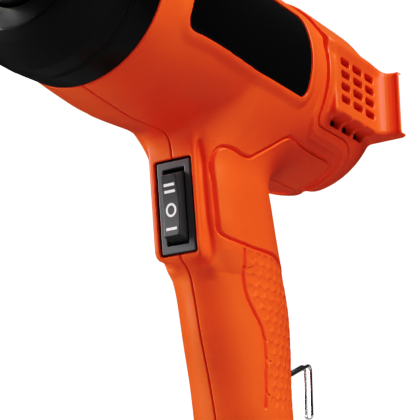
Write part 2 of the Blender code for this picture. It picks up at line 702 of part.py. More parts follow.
def hook_path():
    """Centre line of the wire: trunnion, arm, bend, leg, turn at the end and back up the other side."""
    arm, down = (HOOK_BEND - HOOK_PIVOT).normalized(), Vector((0, 0, -1))
    start = HOOK_BEND - arm * HOOK_BEND_REACH
    end = HOOK_BEND + down * HOOK_BEND_REACH
    half = [HOOK_PIVOT + arm * HOOK_INNER_BEND, start]
    for t in (0.25, 0.5, 0.75):
        half.append(start * (1 - t) ** 2 + HOOK_BEND * 2 * t * (1 - t) + end * t ** 2)
    half += [end, HOOK_BEND + down * HOOK_LEG]
    side = Vector((0, HOOK_HALF_WIDTH, 0))
    left = [point - side for point in half]
    right = [point + side for point in reversed(half)]
    foot = [HOOK_BEND + down * (HOOK_LEG + HOOK_HALF_WIDTH * math.sin(a)) - side * math.cos(a)
            for a in (math.pi / 4, math.pi / 2, 3 * math.pi / 4)]
    far, near = Vector((0, HOOK_TRUNNION_Y, 0)), Vector((0, HOOK_HALF_WIDTH + HOOK_INNER_BEND, 0))
    turn_in = [HOOK_PIVOT - far, HOOK_PIVOT - near]
    turn_out = [HOOK_PIVOT + near, HOOK_PIVOT + far]
    return turn_in + left + foot + right + turn_out


def hook_stand():
    wire = swept("hook_stand", hook_path(), WIRE_R, 8)
    moved(wire, Matrix.Translation(-HOOK_PIVOT))
    wire.location = HOOK_PIVOT
    return wire


LEAD_ROUTES = {
    "lead_live": [(57, 2.4, 30), (53, 2.4, 45), (51.5, 2.4, 56), (51, 2, 66)],
    "lead_neutral": [(58, -2.4, 30), (56, -3, 50), (55, -3, 78), (56, -3.5, 98), (60, -5, 110), (72, -7, 119),
                     (81, -8, 124), (82.2, -9, 130)],
    "lead_heater": [(50, 1, 90), (44, 3, 100), (28, 5, 105), (12, 5, 113), (0, 4, 121), (-12, 4, 125),
                    (-22, 6, 121)],
}


def lead(name):
    points = [[value * MM for value in point] for point in LEAD_ROUTES[name]]
    return swept(name, smooth_path(points), 1.1 * MM, 8)


# ---------------------------------------------------------------- assembly

def build_casing():
    orange = material("orange_plastic", (0.80, 0.115, 0.012), 0.42)
    shell = housing_shell()
    finish(housing_half(shell, -1), "housing_left", orange)
    finish(housing_half(shell, 1), "housing_right", orange)
    bpy.data.objects.remove(shell, do_unlink=True)
    finish(rear_cap(), "rear_cap", material("orange_cap_plastic", (0.82, 0.12, 0.012), 0.42))
    finish(front_collar(), "front_collar", material("black_collar_plastic", (0.02, 0.02, 0.021), 0.45))
    gloss = material("black_gloss_label", (0.004, 0.004, 0.005), 0.12)
    finish(label_plate(-1), "label_left", gloss)
    finish(label_plate(1), "label_right", gloss)
    steel = material("screw_steel", (0.42, 0.42, 0.43), 0.35, 1)
    for i, (x, z) in enumerate(BOSSES):
        head = (x * MM, SCREW_HEAD_Y + GAP + HEAD_HEIGHT, z * MM)
        screw = cross_screw("screw", head, (x * MM, SCREW_TIP_Y, z * MM), SCREW_HEAD_R, SCREW_SHANK_R)
        finish(screw, f"housing_screw_{i + 1}", steel)


def build_heater():
    finish(nozzle(), "nozzle", material("nozzle_steel", (0.5, 0.49, 0.47), 0.33, 1))
    finish(sleeve("heat_shield", -62 * MM, FLANGE_X - 3 * MM, 29 * MM, 0.8 * MM), "heat_shield",
           material("shield_aluminium", (0.7, 0.7, 0.71), 0.38, 1))
    finish(sleeve("mica_sleeve", -63.5 * MM, FLANGE_X - 1 * MM, 22.9 * MM, 0.6 * MM), "mica_sleeve",
           material("mica", (0.55, 0.47, 0.36), 0.6))
    finish(element_core(), "element_core", material("mica_plate", (0.58, 0.5, 0.38), 0.6))
    wire = material("heater_wire", (0.3, 0.28, 0.26), 0.5, 1)
    finish(heater_coil("coil", -60 * MM, 6, 2.3 * MM), "heater_coil_front", wire)
    finish(heater_coil("coil", -44.5 * MM, 6, 2.3 * MM), "heater_coil_rear", wire)
    flange = sleeve("flange", FLANGE_X, FLANGE_X + 2.5 * MM, 34.2 * MM, 13.6 * MM)
    finish(flange, "element_flange", material("flange_ceramic", (0.75, 0.72, 0.66), 0.7))
    start, end = FLANGE_X + 2.8 * MM, FLANGE_X + 7.5 * MM
    cutout = rod("cutout", (start, 27 * MM, AXIS_Z), (end, 27 * MM, AXIS_Z), 3 * MM)
    finish(cutout, "thermal_cutout", material("cutout_metal", (0.6, 0.6, 0.6), 0.4, 1))


def build_switch():
    finish(switch_body(), "switch_body", material("switch_grey_plastic", (0.1, 0.103, 0.11), 0.4))
    finish(rocker(), "rocker", material("rocker_grey_plastic", (0.075, 0.077, 0.083), 0.4))
    brass = material("terminal_brass", (0.78, 0.6, 0.28), 0.3, 1)
    for i, level in enumerate((-9 * MM, 0, 9 * MM)):
        finish(switch_terminal("terminal", level), f"switch_terminal_{i + 1}", brass)


def build_motor():
    plastic = material("bracket_plastic", (0.03, 0.03, 0.03), 0.5)
    finish(motor_bracket(), "motor_bracket", plastic)
    finish(fan_impeller(), "fan_impeller", material("fan_plastic", (0.7, 0.7, 0.68), 0.5))
    finish(motor_can(), "motor_can", material("can_steel", (0.55, 0.55, 0.55), 0.35, 1))
    ferrite = material("magnet_ferrite", (0.05, 0.05, 0.05), 0.7)
    finish(motor_magnet("magnet", -1), "motor_magnet_left", ferrite)
    finish(motor_magnet("magnet", 1), "motor_magnet_right", ferrite)
    finish(armature(), "motor_armature", material("lamination_steel", (0.35, 0.34, 0.33), 0.5, 1))
    bronze = material("bearing_bronze", (0.6, 0.42, 0.2), 0.4, 1)
    finish(bearing("bearing", MOTOR_X), "motor_bearing_front", bronze)
    finish(bearing("bearing", MOTOR_X + MOTOR_LENGTH + GAP), "motor_bearing_rear", bronze)
    finish(motor_end_cap(), "motor_end_cap", material("end_cap_plastic", (0.85, 0.83, 0.76), 0.5))
    shaft = rod("shaft", (FAN_X - 2 * MM, 0, AXIS_Z), (BOARD_X - 1.5 * MM, 0, AXIS_Z), SHAFT_R, 16)
    finish(on_axis(shaft), "motor_shaft", material("shaft_steel", (0.6, 0.6, 0.6), 0.25, 1))
    for i, side in enumerate((-1, 1)):
        y = side * MOTOR_SCREW_Y
        head = (BRACKET_X - GAP - HEAD_HEIGHT, y, AXIS_Z)
        screw = cross_screw("screw", head, (MOTOR_X + 0.9 * MM, y, AXIS_Z), 2.6 * MM, 1.3 * MM)
        steel = material(f"motor_screw_steel_{i + 1}", (0.42, 0.42, 0.43), 0.35, 1)
        finish(screw, f"motor_screw_{i + 1}", steel)


def build_rectifier():
    board = turned("rectifier_board", [(BOARD_X, 14 * MM), (BOARD_X + 1.6 * MM, 14 * MM)], 32)
    finish(board, "rectifier_board", material("circuit_board", (0.12, 0.2, 0.06), 0.5))
    black = material("diode_black", (0.015, 0.015, 0.015), 0.4)
    diode_x = BOARD_X + 3.6 * MM
    for i, level in enumerate((-9, -4.5, 0, 4.5)):
        z = AXIS_Z + level * MM
        diode = rod("diode", (diode_x, -2.6 * MM, z), (diode_x, 2.6 * MM, z), 1.4 * MM, 12)
        finish(diode, f"diode_{i + 1}", black)
    z = AXIS_Z + 10 * MM
    capacitor = rod("capacitor", (BOARD_X + 1.9 * MM, 0, z), (BOARD_X + 8 * MM, 0, z), 3 * MM, 20)
    finish(capacitor, "capacitor", material("capacitor_blue", (0.03, 0.08, 0.3), 0.35))


def build_handle_fittings():
    finish(cable_gland(), "cable_gland", material("gland_rubber", (0.02, 0.02, 0.02), 0.7))
    finish(cord_clamp(), "cord_clamp", material("clamp_fibre", (0.06, 0.05, 0.045), 0.6))
    steel = material("clamp_screw_steel", (0.42, 0.42, 0.43), 0.35, 1)
    for i, side in enumerate((-1, 1)):
        y = side * CLAMP_SCREW_Y
        screw = cross_screw("screw", (67.6 * MM, y, CLAMP_Z), (56 * MM, y, CLAMP_Z), 2.4 * MM, 1.1 * MM)
        finish(screw, f"clamp_screw_{i + 1}", steel)
    colours = {"lead_live": (0.25, 0.1, 0.04), "lead_neutral": (0.03, 0.1, 0.4),
               "lead_heater": (0.6, 0.6, 0.58)}
    for name, colour in colours.items():
        finish(lead(name), name, material(f"{name}_sleeve", colour, 0.5))
    finish(hook_stand(), "hook_stand", material("hook_chrome", (0.75, 0.75, 0.76), 0.12, 1))


def main():
    clear_scene()
    build_casing()
    build_heater()
    build_switch()
    build_motor()
    build_rectifier()
    build_handle_fittings()


main()
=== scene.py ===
"""Looks of the heat gun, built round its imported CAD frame.

The moulded pieces are signed distance fields in millimetres, meshed with surface nets. Most of their
dimensions repeat the CAD's. The nozzle points to -X, the left side is -Y, and the halves meet on Y = 0.
"""
import math

import bmesh
import bpy
import numpy as np
from mathutils import Matrix, Vector


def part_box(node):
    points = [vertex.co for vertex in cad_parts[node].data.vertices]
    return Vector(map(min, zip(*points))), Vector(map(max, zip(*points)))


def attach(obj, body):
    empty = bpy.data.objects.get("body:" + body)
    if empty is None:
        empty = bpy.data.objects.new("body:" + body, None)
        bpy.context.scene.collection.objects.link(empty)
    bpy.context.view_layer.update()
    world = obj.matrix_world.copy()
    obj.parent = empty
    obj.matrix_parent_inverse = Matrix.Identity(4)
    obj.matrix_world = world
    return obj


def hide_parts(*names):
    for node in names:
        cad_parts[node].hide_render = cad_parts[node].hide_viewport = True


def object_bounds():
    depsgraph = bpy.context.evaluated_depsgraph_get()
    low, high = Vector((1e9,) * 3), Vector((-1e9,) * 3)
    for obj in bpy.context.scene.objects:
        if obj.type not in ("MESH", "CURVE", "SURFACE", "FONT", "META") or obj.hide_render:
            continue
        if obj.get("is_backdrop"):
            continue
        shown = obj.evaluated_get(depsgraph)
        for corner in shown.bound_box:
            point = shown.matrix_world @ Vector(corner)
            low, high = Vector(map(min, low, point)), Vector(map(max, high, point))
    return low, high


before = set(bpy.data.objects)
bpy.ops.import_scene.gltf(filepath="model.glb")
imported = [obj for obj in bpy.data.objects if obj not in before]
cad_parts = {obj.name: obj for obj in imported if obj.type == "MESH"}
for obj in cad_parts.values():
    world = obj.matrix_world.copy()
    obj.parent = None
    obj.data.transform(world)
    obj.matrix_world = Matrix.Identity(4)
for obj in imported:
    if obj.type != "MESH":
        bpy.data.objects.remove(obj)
CAD_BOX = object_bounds()

MM = 0.001
CELL_SCALE = 1.0
MOST_FACES = 170000
# What a field is given where nothing of it can be near
FAR = 50.0

# Body, in millimetres. BODY_STATIONS are (x, radius) along the barrel
LENGTH = 236.5
REAR_X = LENGTH / 2
TIP_X = -LENGTH / 2
AXIS_Z = 143.3
BODY_R = 36.5
DOME_X = 102.85
BODY_FRONT_X = -39.5
BODY_STATIONS = [(-39.5, 35.8), (-25, 37.6), (-11, 38.8), (5, 38.2), (25, 37.0), (45, 36.5), (74, 36.5),
                 (130, 36.5)]
# Handle, as (z, front x, rear x, half width)
HANDLE_STATIONS = [(-5, 43.5, 81.0, 18.6), (0, 42.0, 81.0, 18.6), (16, 37.4, 81.6, 18.3),
                   (32, 31.9, 82.9, 18.4), (48, 27.4, 81.9, 18.5), (68, 20.6, 76.0, 18.3),
                   (84, 17.7, 71.5, 18.2), (98, 15.6, 68.1, 18.2), (112, 8.0, 72.0, 20.0),
                   (125, 4.0, 76.0, 21.0)]
HANDLE_TOP = 128.0
# Exponent of the handle's front outline against height: 2 is an ellipse, more is squarer
FRONT_FULLNESS = [(54, 2.0), (62, 2.9), (72, 3.4), (98, 3.4), (112, 2.5), (122, 2.0)]
WALL = 2.6
SEAM = 0.1
EDGE = 0.5
INNER_EDGE = 0.4

# Switch, and the raised block of the housing (prow) that it sits in. Depth is measured into the handle from
# the bezel's face, and height up that face from its middle
SWITCH_CENTRE = (16.75, 0.0, 78.0)
SWITCH_LEAN = math.radians(6.4)
BEZEL_HALF = (15.3 / 2, 17.5)
SWITCH_BOX_HALF = (6.1, 15.0)
SWITCH_OPENING_HALF = (6.5, 15.4)
POCKET_HALF_HEIGHT = 14.3
ROCKER_HALF_WIDTH = 4.4
ROCKER_REACH = 14.0
ROCKER_FACE = 11.5
ROCKER_PIVOT_DEPTH = 5.0
PROW_HALF_WIDTH = 10.5
PROW_SHIFT = 0.6
PROW_LOW = 19.9
PROW_LOW_SLOPE = 0.6
PROW_FACE = -0.8
PROW_BACK = 24.0
CREASE_DEPTH = 1.0
CREASE_WIDTH = 1.5
BEZEL_GAP = 0.6

# Rear cap, its vent blocks (pads) and their feet
PAD_FACE_Y = 36.8
PAD_FRONT_X = 76.2
PAD_Z = (126.5, 152.8)
FOOT_Y = 46.0
FOOT_THICK = 2.9
FLARE_X = 106.5
FLARE_R = 9.0
CAP_FRONT_X = 71.2
CAP_LOW_Z = 120.8
SLOT_ROWS = [132.7 + 5.35 * row for row in range(4)]
SLOT_COLUMNS = [(79.6, 86.9), (89.8, 97.8), (100.4, 107.9)]
SLOT_HEIGHT = 2.8
SLOT_CORNER = 1.0
LOW_HOLES = [80.0, 90.0, 100.0]
LOW_HOLE_LENGTH = 8.0
LOW_HOLE_Z = (122.6, 126.2)
LOW_HOLE_CORNER = 1.3
VENT_Y = 24.0
SCREEN_Y = 22.0
SCREEN_X = (79.0, 111.0)
SCREEN_Z = (121.2, 151.5)
SCREEN_DEPTH = WALL + 0.8
SCREEN_HALF_THICK = 0.35

LABEL_LOW = (-25.0, 126.3)
LABEL_HIGH = (57.8, 160.3)
LABEL_CORNER = 4.0
LABEL_GAP = 0.3
LABEL_SINK = 0.55
LABEL_BACK = 2.6
LABEL_POCKET_DEPTH = 1.2

# Screws of the housing, as (x, z), and the cord's outlet
BOSSES = [(-20, 174.3), (-12, 112.5), (60, 175.5), (95, 111.8), (44, 46), (49.5, 20), (66, 72)]
BOSS_R = 4.6
COUNTERBORE_R = 3.3
SCREW_HEAD_Y = 10.3
SCREW_HEAD_R = 3.0
SCREW_HEAD_HEIGHT = 2.0
SCREW_SHANK_R = 1.4
SCREW_END_Y = -20.3
CROSS_HALF_WIDTH = 0.45
CROSS_HALF_LENGTH = 1.7
CROSS_DEPTH = 1.1
OUTLET_X = 58.0
OUTLET_R = 7.8

# Wire hook and its slot in the heel
WIRE_R = 0.7
HOOK_PIVOT = (74.0, 0.0, 16.8)
HOOK_BEND = (111.5, 0.0, 32.4)
HOOK_LEG = 21.0
HOOK_HALF_WIDTH = 1.4
HOOK_TRUNNION_Y = 8.0
HOOK_BEND_REACH = 3.2
HOOK_INNER_BEND = 0.9
HOOK_SLOT_LOW = (77.0, 9.8)
HOOK_SLOT_HIGH = (90.0, 22.8)
HOOK_SLOT_HALF_WIDTH = 2.5

# Marks on the rocker: heights of the bars and the ring, and half their sizes
MARK_BAR_LEVELS = (7.7, 5.2, -8.9)
MARK_BAR_HALF = (2.35, 0.52)
MARK_RING_LEVEL = -1.8
MARK_RING_OUTER = (2.35, 2.6)
MARK_RING_INNER = (1.5, 1.75)

ORANGE = (0.84, 0.16, 0.065)
# Points added to the contrast curve, as (value before, value after)
FILM_CURVE = [(0.05, 0.008), (0.108, 0.027), (0.14, 0.066), (0.175, 0.12), (0.35, 0.31), (0.7, 0.74)]

# Engraved lines of the left flank, as (x, z)
SIDE_PANEL = [(29, 65.8), (25.6, 67.2), (24, 70), (22.8, 76), (21.6, 84), (20.5, 91), (20.3, 95),
              (21.4, 98.8), (24.3, 100.2), (29.4, 99.7), (34.3, 99.1), (39, 99.7), (43.3, 102.4),
              (50.5, 107), (56, 110.8), (60, 113), (64, 113.5), (80, 113.6), (96, 113.6), (99.5, 112.9),
              (102, 110.6), (103.6, 108), (104.6, 104)]
SIDE_PANEL_FOOT = [(29, 65.8), (34, 65.1), (42, 64.6), (52, 64.9), (57, 64.8), (61, 64.2), (65, 63),
                   (70, 61), (77, 56), (84, 50)]
GRIP_FRONT = [(36.2, 62.8), (37.1, 58.3), (38.1, 53.2), (39.3, 48.8), (41, 44.9), (43.6, 41), (46.4, 37.2),
              (48.4, 33.7), (49.5, 30), (50.2, 25), (50.7, 16), (50.9, 6)]
GRIP_REGION = GRIP_FRONT + [(51, 4), (90, 4), (90, 56), (70, 61), (61, 63.6), (52, 63.8)]
GROOVE_WIDTH = 0.9
GROOVE_DEPTH = 1.0
PANEL_RISE = 0.35
LEDGE_RISE = 1.3
LABEL_RIM_RISE = 0.8
HEX_PITCH = 4.7
HEX_HALF = 1.85
HEX_DEPTH = 0.3
HEX_SLOPE = 1.1
# Half depth and half width of the oval that the dimples' spacing is measured round
GRIP_OVAL = (26.0, 18.4)


# ---------------------------------------------------------------- curves and fields

def smooth_curve(points, steps=6):
    """Catmull-Rom curve through points of any dimension."""
    points = np.array(points, float)
    ends = [2 * points[0] - points[1], 2 * points[-1] - points[-2]]
    padded = np.vstack([ends[0], points, ends[1]])
    curve = []
    for a, b, c, d in zip(padded, padded[1:], padded[2:], padded[3:]):
        for t in np.arange(steps) / steps:
            curve.append(0.5 * (2 * b + (c - a) * t + (2 * a - 5 * b + 4 * c - d) * t ** 2
                                + (3 * b - a - 3 * c + d) * t ** 3))
    return np.array(curve + [points[-1]])


def smooth_min(a, b, k):
    """Smaller of two distances, blended over a width k."""
    h = np.clip(0.5 + 0.5 * (b - a) / k, 0, 1)
    return b + (a - b) * h - k * h * (1 - h)


def smooth_max(a, b, k):
    return -smooth_min(-a, -b, k)


def ease(t):
    """Smooth step from 0 to 1."""
    t = np.clip(t, 0, 1)
    return t * t * (3 - 2 * t)


def rectangle(u, v, low, high, corner):
    """Signed distance to a rectangle with round corners, negative inside."""
    du = np.abs(u - (low[0] + high[0]) / 2) - (high[0] - low[0]) / 2 + corner
    dv = np.abs(v - (low[1] + high[1]) / 2) - (high[1] - low[1]) / 2 + corner
    return np.hypot(np.maximum(du, 0), np.maximum(dv, 0)) + np.minimum(np.maximum(du, dv), 0) - corner


def centred(u, v, half, corner):
    """Signed distance to a rectangle about the origin."""
    return rectangle(u, v, (-half[0], -half[1]), half, corner)


def line_distance(u, v, points):
    """Distance to a line through points."""
    best = np.full(np.shape(u), 1e9)
    for (u0, v0), (u1, v1) in zip(points[:-1], points[1:]):
        run, rise = u1 - u0, v1 - v0
        t = np.clip(((u - u0) * run + (v - v0) * rise) / (run * run + rise * rise + 1e-9), 0, 1)
        best = np.minimum(best, np.hypot(u - u0 - t * run, v - v0 - t * rise))
    return best


def polygon(u, v, points):
    """Signed distance to a closed outline, negative inside."""
    points = [tuple(p) for p in points]
    inside = np.zeros(np.shape(u), bool)
    for (u0, v0), (u1, v1) in zip(points, points[1:] + points[:1]):
        if v0 != v1:
            across = (v0 > v) != (v1 > v)
            inside ^= across & (u < u0 + (v - v0) * (u1 - u0) / (v1 - v0))
    distance = line_distance(u, v, points + points[:1])
    return np.where(inside, -distance, distance)


def arc(centre, radius, start, end, steps):
    """Points along an arc, between angles in degrees."""
    angles = np.radians(np.linspace(start, end, steps + 1))
    return [(centre[0] + radius * math.cos(a), centre[1] + radius * math.sin(a)) for a in angles]


def to_switch(x, z):
    """Depth into the handle and height up the switch's face."""
    dx, dz = x - SWITCH_CENTRE[0], z - SWITCH_CENTRE[2]
    lean_cos, lean_sin = math.cos(SWITCH_LEAN), math.sin(SWITCH_LEAN)
    return lean_cos * dx + lean_sin * dz, -lean_sin * dx + lean_cos * dz


# ---------------------------------------------------------------- housing fields

BARREL_CURVE = smooth_curve(BODY_STATIONS)
HANDLE_CURVE = smooth_curve(HANDLE_STATIONS)
PANEL_LINE = smooth_curve(SIDE_PANEL, 3)
FOOT_LINE = smooth_curve(SIDE_PANEL_FOOT, 2)
GRIP_LINE = smooth_curve(GRIP_FRONT, 2)
PANEL_REGION = list(map(tuple, PANEL_LINE)) + [(84, 50)] + [tuple(p) for p in FOOT_LINE[::-1]]


def barrel(x, y, z):
    radius = np.hypot(y, z - AXIS_Z)
    tube = radius - np.interp(x, BARREL_CURVE[:, 0], BARREL_CURVE[:, 1])
    dome = np.hypot(radius, np.maximum(x - DOME_X, 0)) - BODY_R
    return np.where(x > DOME_X, dome, tube)


def handle_section(z):
    """Centre, half depth and half width of the handle at a height."""
    front, rear, half_width = [np.interp(z, HANDLE_CURVE[:, 0], HANDLE_CURVE[:, i]) for i in (1, 2, 3)]
    return (front + rear) / 2, (rear - front) / 2, half_width


def handle(x, y, z):
    centre, half_depth, half_width = handle_section(z)
    u, v = (x - centre) / half_depth, np.abs(y) / half_width
    heights, fullness = zip(*FRONT_FULLNESS)
    power = np.where(u < 0, np.interp(z, heights, fullness), 2.0)
    u = np.abs(u)
    reach = (u ** power + v ** power) ** (1 / power)
    slope = np.hypot(u ** (power - 1) / half_depth, v ** (power - 1) / half_width)
    oval = (reach - 1) * reach ** (power - 1) / (slope + 1e-6)
    return smooth_max(oval, z - HANDLE_TOP, 4)


def prow(x, y, z):
    """Raised block round the switch. Its top runs up into the barrel."""
    depth, height = to_switch(x, z)
    low = (-height - PROW_LOW - PROW_LOW_SLOPE * depth) / math.hypot(1, PROW_LOW_SLOPE)
    block = smooth_max(PROW_FACE - depth, np.abs(y - PROW_SHIFT) - PROW_HALF_WIDTH, 1.4)
    block = smooth_max(block, low, 4)
    return smooth_max(block, depth - PROW_BACK, 2)


def rear_pads(x, y, z):
    """Vent blocks and the feet that they flare out to."""
    flare = arc((FLARE_X, PAD_FACE_Y + FLARE_R), FLARE_R, 270, 355, 8)
    outline = [(PAD_FRONT_X, 15), (PAD_FRONT_X, PAD_FACE_Y)] + flare
    outline += [(REAR_X - FOOT_THICK, FOOT_Y), (REAR_X + 3, FOOT_Y), (REAR_X + 3, 15)]
    plan = polygon(x, np.abs(y), outline)
    height = np.abs(z - sum(PAD_Z) / 2) - (PAD_Z[1] - PAD_Z[0]) / 2
    return smooth_max(plan, height, 2.4)


def gun_surface(x, y, z):
    """Outer surface of the whole moulding, without its fine detail."""
    neck = 7 + 11 * ease((x - 14) / 16)
    whole = smooth_min(barrel(x, y, z), handle(x, y, z), neck)
    whole = smooth_min(whole, prow(x, y, z), 3.2)
    at_pads = (x > PAD_FRONT_X - 8) & (z > PAD_Z[0] - 12)
    pads = np.full(x.shape, FAR)
    pads[at_pads] = rear_pads(x[at_pads], y[at_pads], z[at_pads])
    whole = smooth_min(whole, pads, 1.6 + 9 * ease((z - 149) / 8))
    whole = smooth_max(whole, BODY_FRONT_X - x, 1.0)
    whole = smooth_max(whole, x - REAR_X, 1.2)
    return smooth_max(whole, -z, 1.5)


def cap_region(x, z):
    """Signed distance to the side view of what the rear cap fills."""
    corner = arc((CAP_FRONT_X + 4, CAP_LOW_Z + 4), 4, 180, 270, 5)
    sweep = arc((94, 104.6), 16.2, 90, 15, 9)
    outline = [(CAP_FRONT_X, 200)] + corner + sweep + [(109.8, 95), (135, 95), (135, 200)]
    return polygon(x, z, outline)


def label_region(x, z):
    return rectangle(x, z, LABEL_LOW, LABEL_HIGH, LABEL_CORNER)


def grip_pattern(x, y, z):
    """Depth of the hexagonal dimples. Their columns follow the handle's girth."""
    centre, half_depth, half_width = handle_section(z)
    angle = np.arctan2(y / half_width, (x - centre) / half_depth)
    steps = np.linspace(0, math.pi, 200)
    speed = np.hypot(GRIP_OVAL[0] * np.sin(steps), GRIP_OVAL[1] * np.cos(steps))
    girth = np.concatenate([[0], np.cumsum((speed[1:] + speed[:-1]) / 2 * (steps[1] - steps[0]))])
    along = np.interp(angle, steps, girth)
    row_height = HEX_PITCH * math.sqrt(3) / 2
    row = np.round(z / row_height)
    shift = HEX_PITCH / 2 * (row % 2)
    column = np.round((along - shift) / HEX_PITCH)
    u, v = along - shift - column * HEX_PITCH, z - row * row_height
    reach = np.maximum(np.abs(v), np.abs(v) / 2 + np.abs(u) * math.sqrt(3) / 2)
    cell_x = x + u * np.sin(angle)
    margin = polygon(cell_x, row * row_height, GRIP_REGION)
    dimple = 1 - ease((reach - HEX_HALF + HEX_SLOPE / 2) / HEX_SLOPE)
    return HEX_DEPTH * dimple * (margin < -HEX_HALF)


def flank_detail(x, y, z):
    """Height of the mouldings on the flanks: engraved lines, raised panels and the grip's dimples."""
    side = ease((y - 1.5) / 4)
    detail = np.zeros(x.shape)
    low = z < 122
    panel = np.minimum(line_distance(x[low], z[low], PANEL_LINE), line_distance(x[low], z[low], FOOT_LINE))
    groove = 1 - ease(panel / GROOVE_WIDTH)
    raised = PANEL_RISE * ease(0.5 - polygon(x[low], z[low], PANEL_REGION) / 1.2)
    detail[low] += raised * ease((x[low] - 40) / 15) - GROOVE_DEPTH * groove
    grip = (z < 66) & (x > 30)
    line = 1 - ease(line_distance(x[grip], z[grip], GRIP_LINE) / GROOVE_WIDTH)
    detail[grip] -= GROOVE_DEPTH * line + grip_pattern(x[grip], y[grip], z[grip])
    border = cap_region(x, z)
    ledge = ease((4.4 - border) / 1.3) * ease((x - 64) / 4)
    detail += LEDGE_RISE * ledge * (1 - ease((z - 114) / 22) * (border > 0))
    detail += LABEL_RIM_RISE * (1 - ease((label_region(x, z) - 1.6) / 3.4))
    return detail * side


def prow_crease(x, y, z):
    """Depth of the soft valley beside the switch's raised block and round its lower corners."""
    crease = np.zeros(x.shape)
    near = (z > 48) & (z < 112) & (x < 40)
    depth, height = to_switch(x[near], z[near])
    low, high = (-PROW_HALF_WIDTH, -PROW_LOW - 1.5), (PROW_HALF_WIDTH, 60)
    across = y[near] - PROW_SHIFT
    beside = rectangle(across, height, low, high, 4) - 0.2
    fade = ease((depth - 0.5) / 1.5) * ease((8 - depth) / 3) * ease((np.abs(across) - 4) / 4)
    fade = fade * ease((112 - z[near]) / 14)
    crease[near] = CREASE_DEPTH * np.exp(-(beside / CREASE_WIDTH) ** 2) * fade
    return crease


def moulding(x, y, z):
    """Outer surface with its fine detail, and the plain surface that the wall's inside follows."""
    plain = gun_surface(x, y, z)
    near = np.abs(plain) < 3
    full = plain.copy()
    full[near] -= flank_detail(x[near], np.abs(y[near]), z[near])
    full[near] += prow_crease(x[near], y[near], z[near])
    return full, plain


def boss_distance(x, z, grow):
    """Signed distance to round posts of radius grow at the screws."""
    best = np.full(x.shape, 1e9)
    for centre_x, centre_z in BOSSES:
        best = np.minimum(best, np.hypot(x - centre_x, z - centre_z) - grow)
    return best


def switch_cuts(x, y, z):
    """Opening for the switch's box, and the recess round its bezel."""
    depth, height = to_switch(x, z)
    width = np.abs(y)
    half_width, half_height = SWITCH_OPENING_HALF
    opening = rectangle(width, height, (-9, -half_height), (half_width, half_height), 0.8)
    opening = np.maximum(opening, np.abs(depth - 4) - 8)
    grown = (BEZEL_HALF[0] + BEZEL_GAP, BEZEL_HALF[1] + BEZEL_GAP)
    rim = np.maximum(centred(width, height, grown, 1.2), np.abs(depth) - 1.8)
    return np.minimum(opening, rim)


def housing_half(side):
    """Field of one half. Side is -1 for the left and 1 for the right, which has the screw heads."""
    def field(x, y, z):
        out = side * y
        outer, plain = moulding(x, y, z)
        cavity = np.maximum(plain + WALL, BODY_FRONT_X - 5 - x)
        if side > 0:
            cavity = np.maximum(cavity, -boss_distance(x, z, BOSS_R))
        pocket = np.maximum(label_region(x, z) - LABEL_GAP, -(outer + LABEL_POCKET_DEPTH))
        outlet = np.maximum(np.hypot(x - OUTLET_X, y) - OUTLET_R, z - 8)
        hook_slot = rectangle(x, z, HOOK_SLOT_LOW, HOOK_SLOT_HIGH, 0.8)
        hook_slot = np.maximum(hook_slot, out - HOOK_SLOT_HALF_WIDTH)
        cuts = np.minimum.reduce([pocket, switch_cuts(x, y, z), outlet, hook_slot,
                                  cap_region(x, z) - SEAM, out - SEAM])
        if side > 0:
            counterbore = np.maximum(boss_distance(x, z, COUNTERBORE_R), SCREW_HEAD_Y - 0.3 - out)
            cuts = np.minimum(cuts, counterbore)
        shell = smooth_max(outer, -cavity, INNER_EDGE)
        return smooth_max(shell, -cuts, EDGE)
    return field


def vents(x, y, z):
    """Slots in the vent blocks' faces, and the low holes under them."""
    half = SLOT_HEIGHT / 2
    cuts = np.full(x.shape, FAR)
    for low, high in SLOT_COLUMNS:
        for level in SLOT_ROWS:
            slot = rectangle(x, z, (low, level - half), (high, level + half), SLOT_CORNER)
            cuts = np.minimum(cuts, slot)
    for low in LOW_HOLES:
        high = low + LOW_HOLE_LENGTH
        hole = rectangle(x, z, (low, LOW_HOLE_Z[0]), (high, LOW_HOLE_Z[1]), LOW_HOLE_CORNER)
        cuts = np.minimum(cuts, hole)
    return np.maximum(cuts, VENT_Y - np.abs(y))


def rear_cap(x, y, z):
    outer, plain = moulding(x, y, z)
    shell = smooth_max(outer, -(plain + WALL), INNER_EDGE)
    shell = smooth_max(shell, cap_region(x, z) + SEAM, EDGE)
    return smooth_max(shell, -vents(x, y, z), 0.7)


def vent_shade_screen(side):
    """Thin dark sheet that lines the cap behind its vents, as painted shade for the inside of the slots."""
    def field(x, y, z):
        inside = np.abs(gun_surface(x, y, z) + SCREEN_DEPTH) - SCREEN_HALF_THICK
        extent = rectangle(x, z, (SCREEN_X[0], SCREEN_Z[0]), (SCREEN_X[1], SCREEN_Z[1]), 1)
        return np.maximum.reduce([inside, extent, SCREEN_Y - side * y])
    return field


def label_plate(side):
    """Plate that follows the flank, sunk a little into it."""
    def field(x, y, z):
        outer, _ = moulding(x, y, z)
        plate = smooth_max(outer + LABEL_SINK, label_region(x, z), EDGE)
        plate = np.maximum(plate, -(outer + LABEL_BACK))
        return np.maximum(plate, 10 - side * y)
    return field


# ---------------------------------------------------------------- switch fields

def switch_body(x, y, z):
    """Bezel and box, with the pocket that the rocker tilts in."""
    depth, height = to_switch(x, z)
    bezel = centred(y, height, BEZEL_HALF, 0.8)
    bezel = smooth_max(bezel, np.abs(depth - 0.4) - 0.8, 0.6)
    box = centred(y, height, SWITCH_BOX_HALF, 0.5)
    box = smooth_max(box, np.abs(depth - 11.5) - 10.5, 0.4)
    pocket = centred(y, height, (ROCKER_HALF_WIDTH + 0.3, POCKET_HALF_HEIGHT), 0.3)
    pocket = np.maximum(pocket, depth - 9.5)
    return smooth_max(np.minimum(bezel, box), -pocket, 0.45)


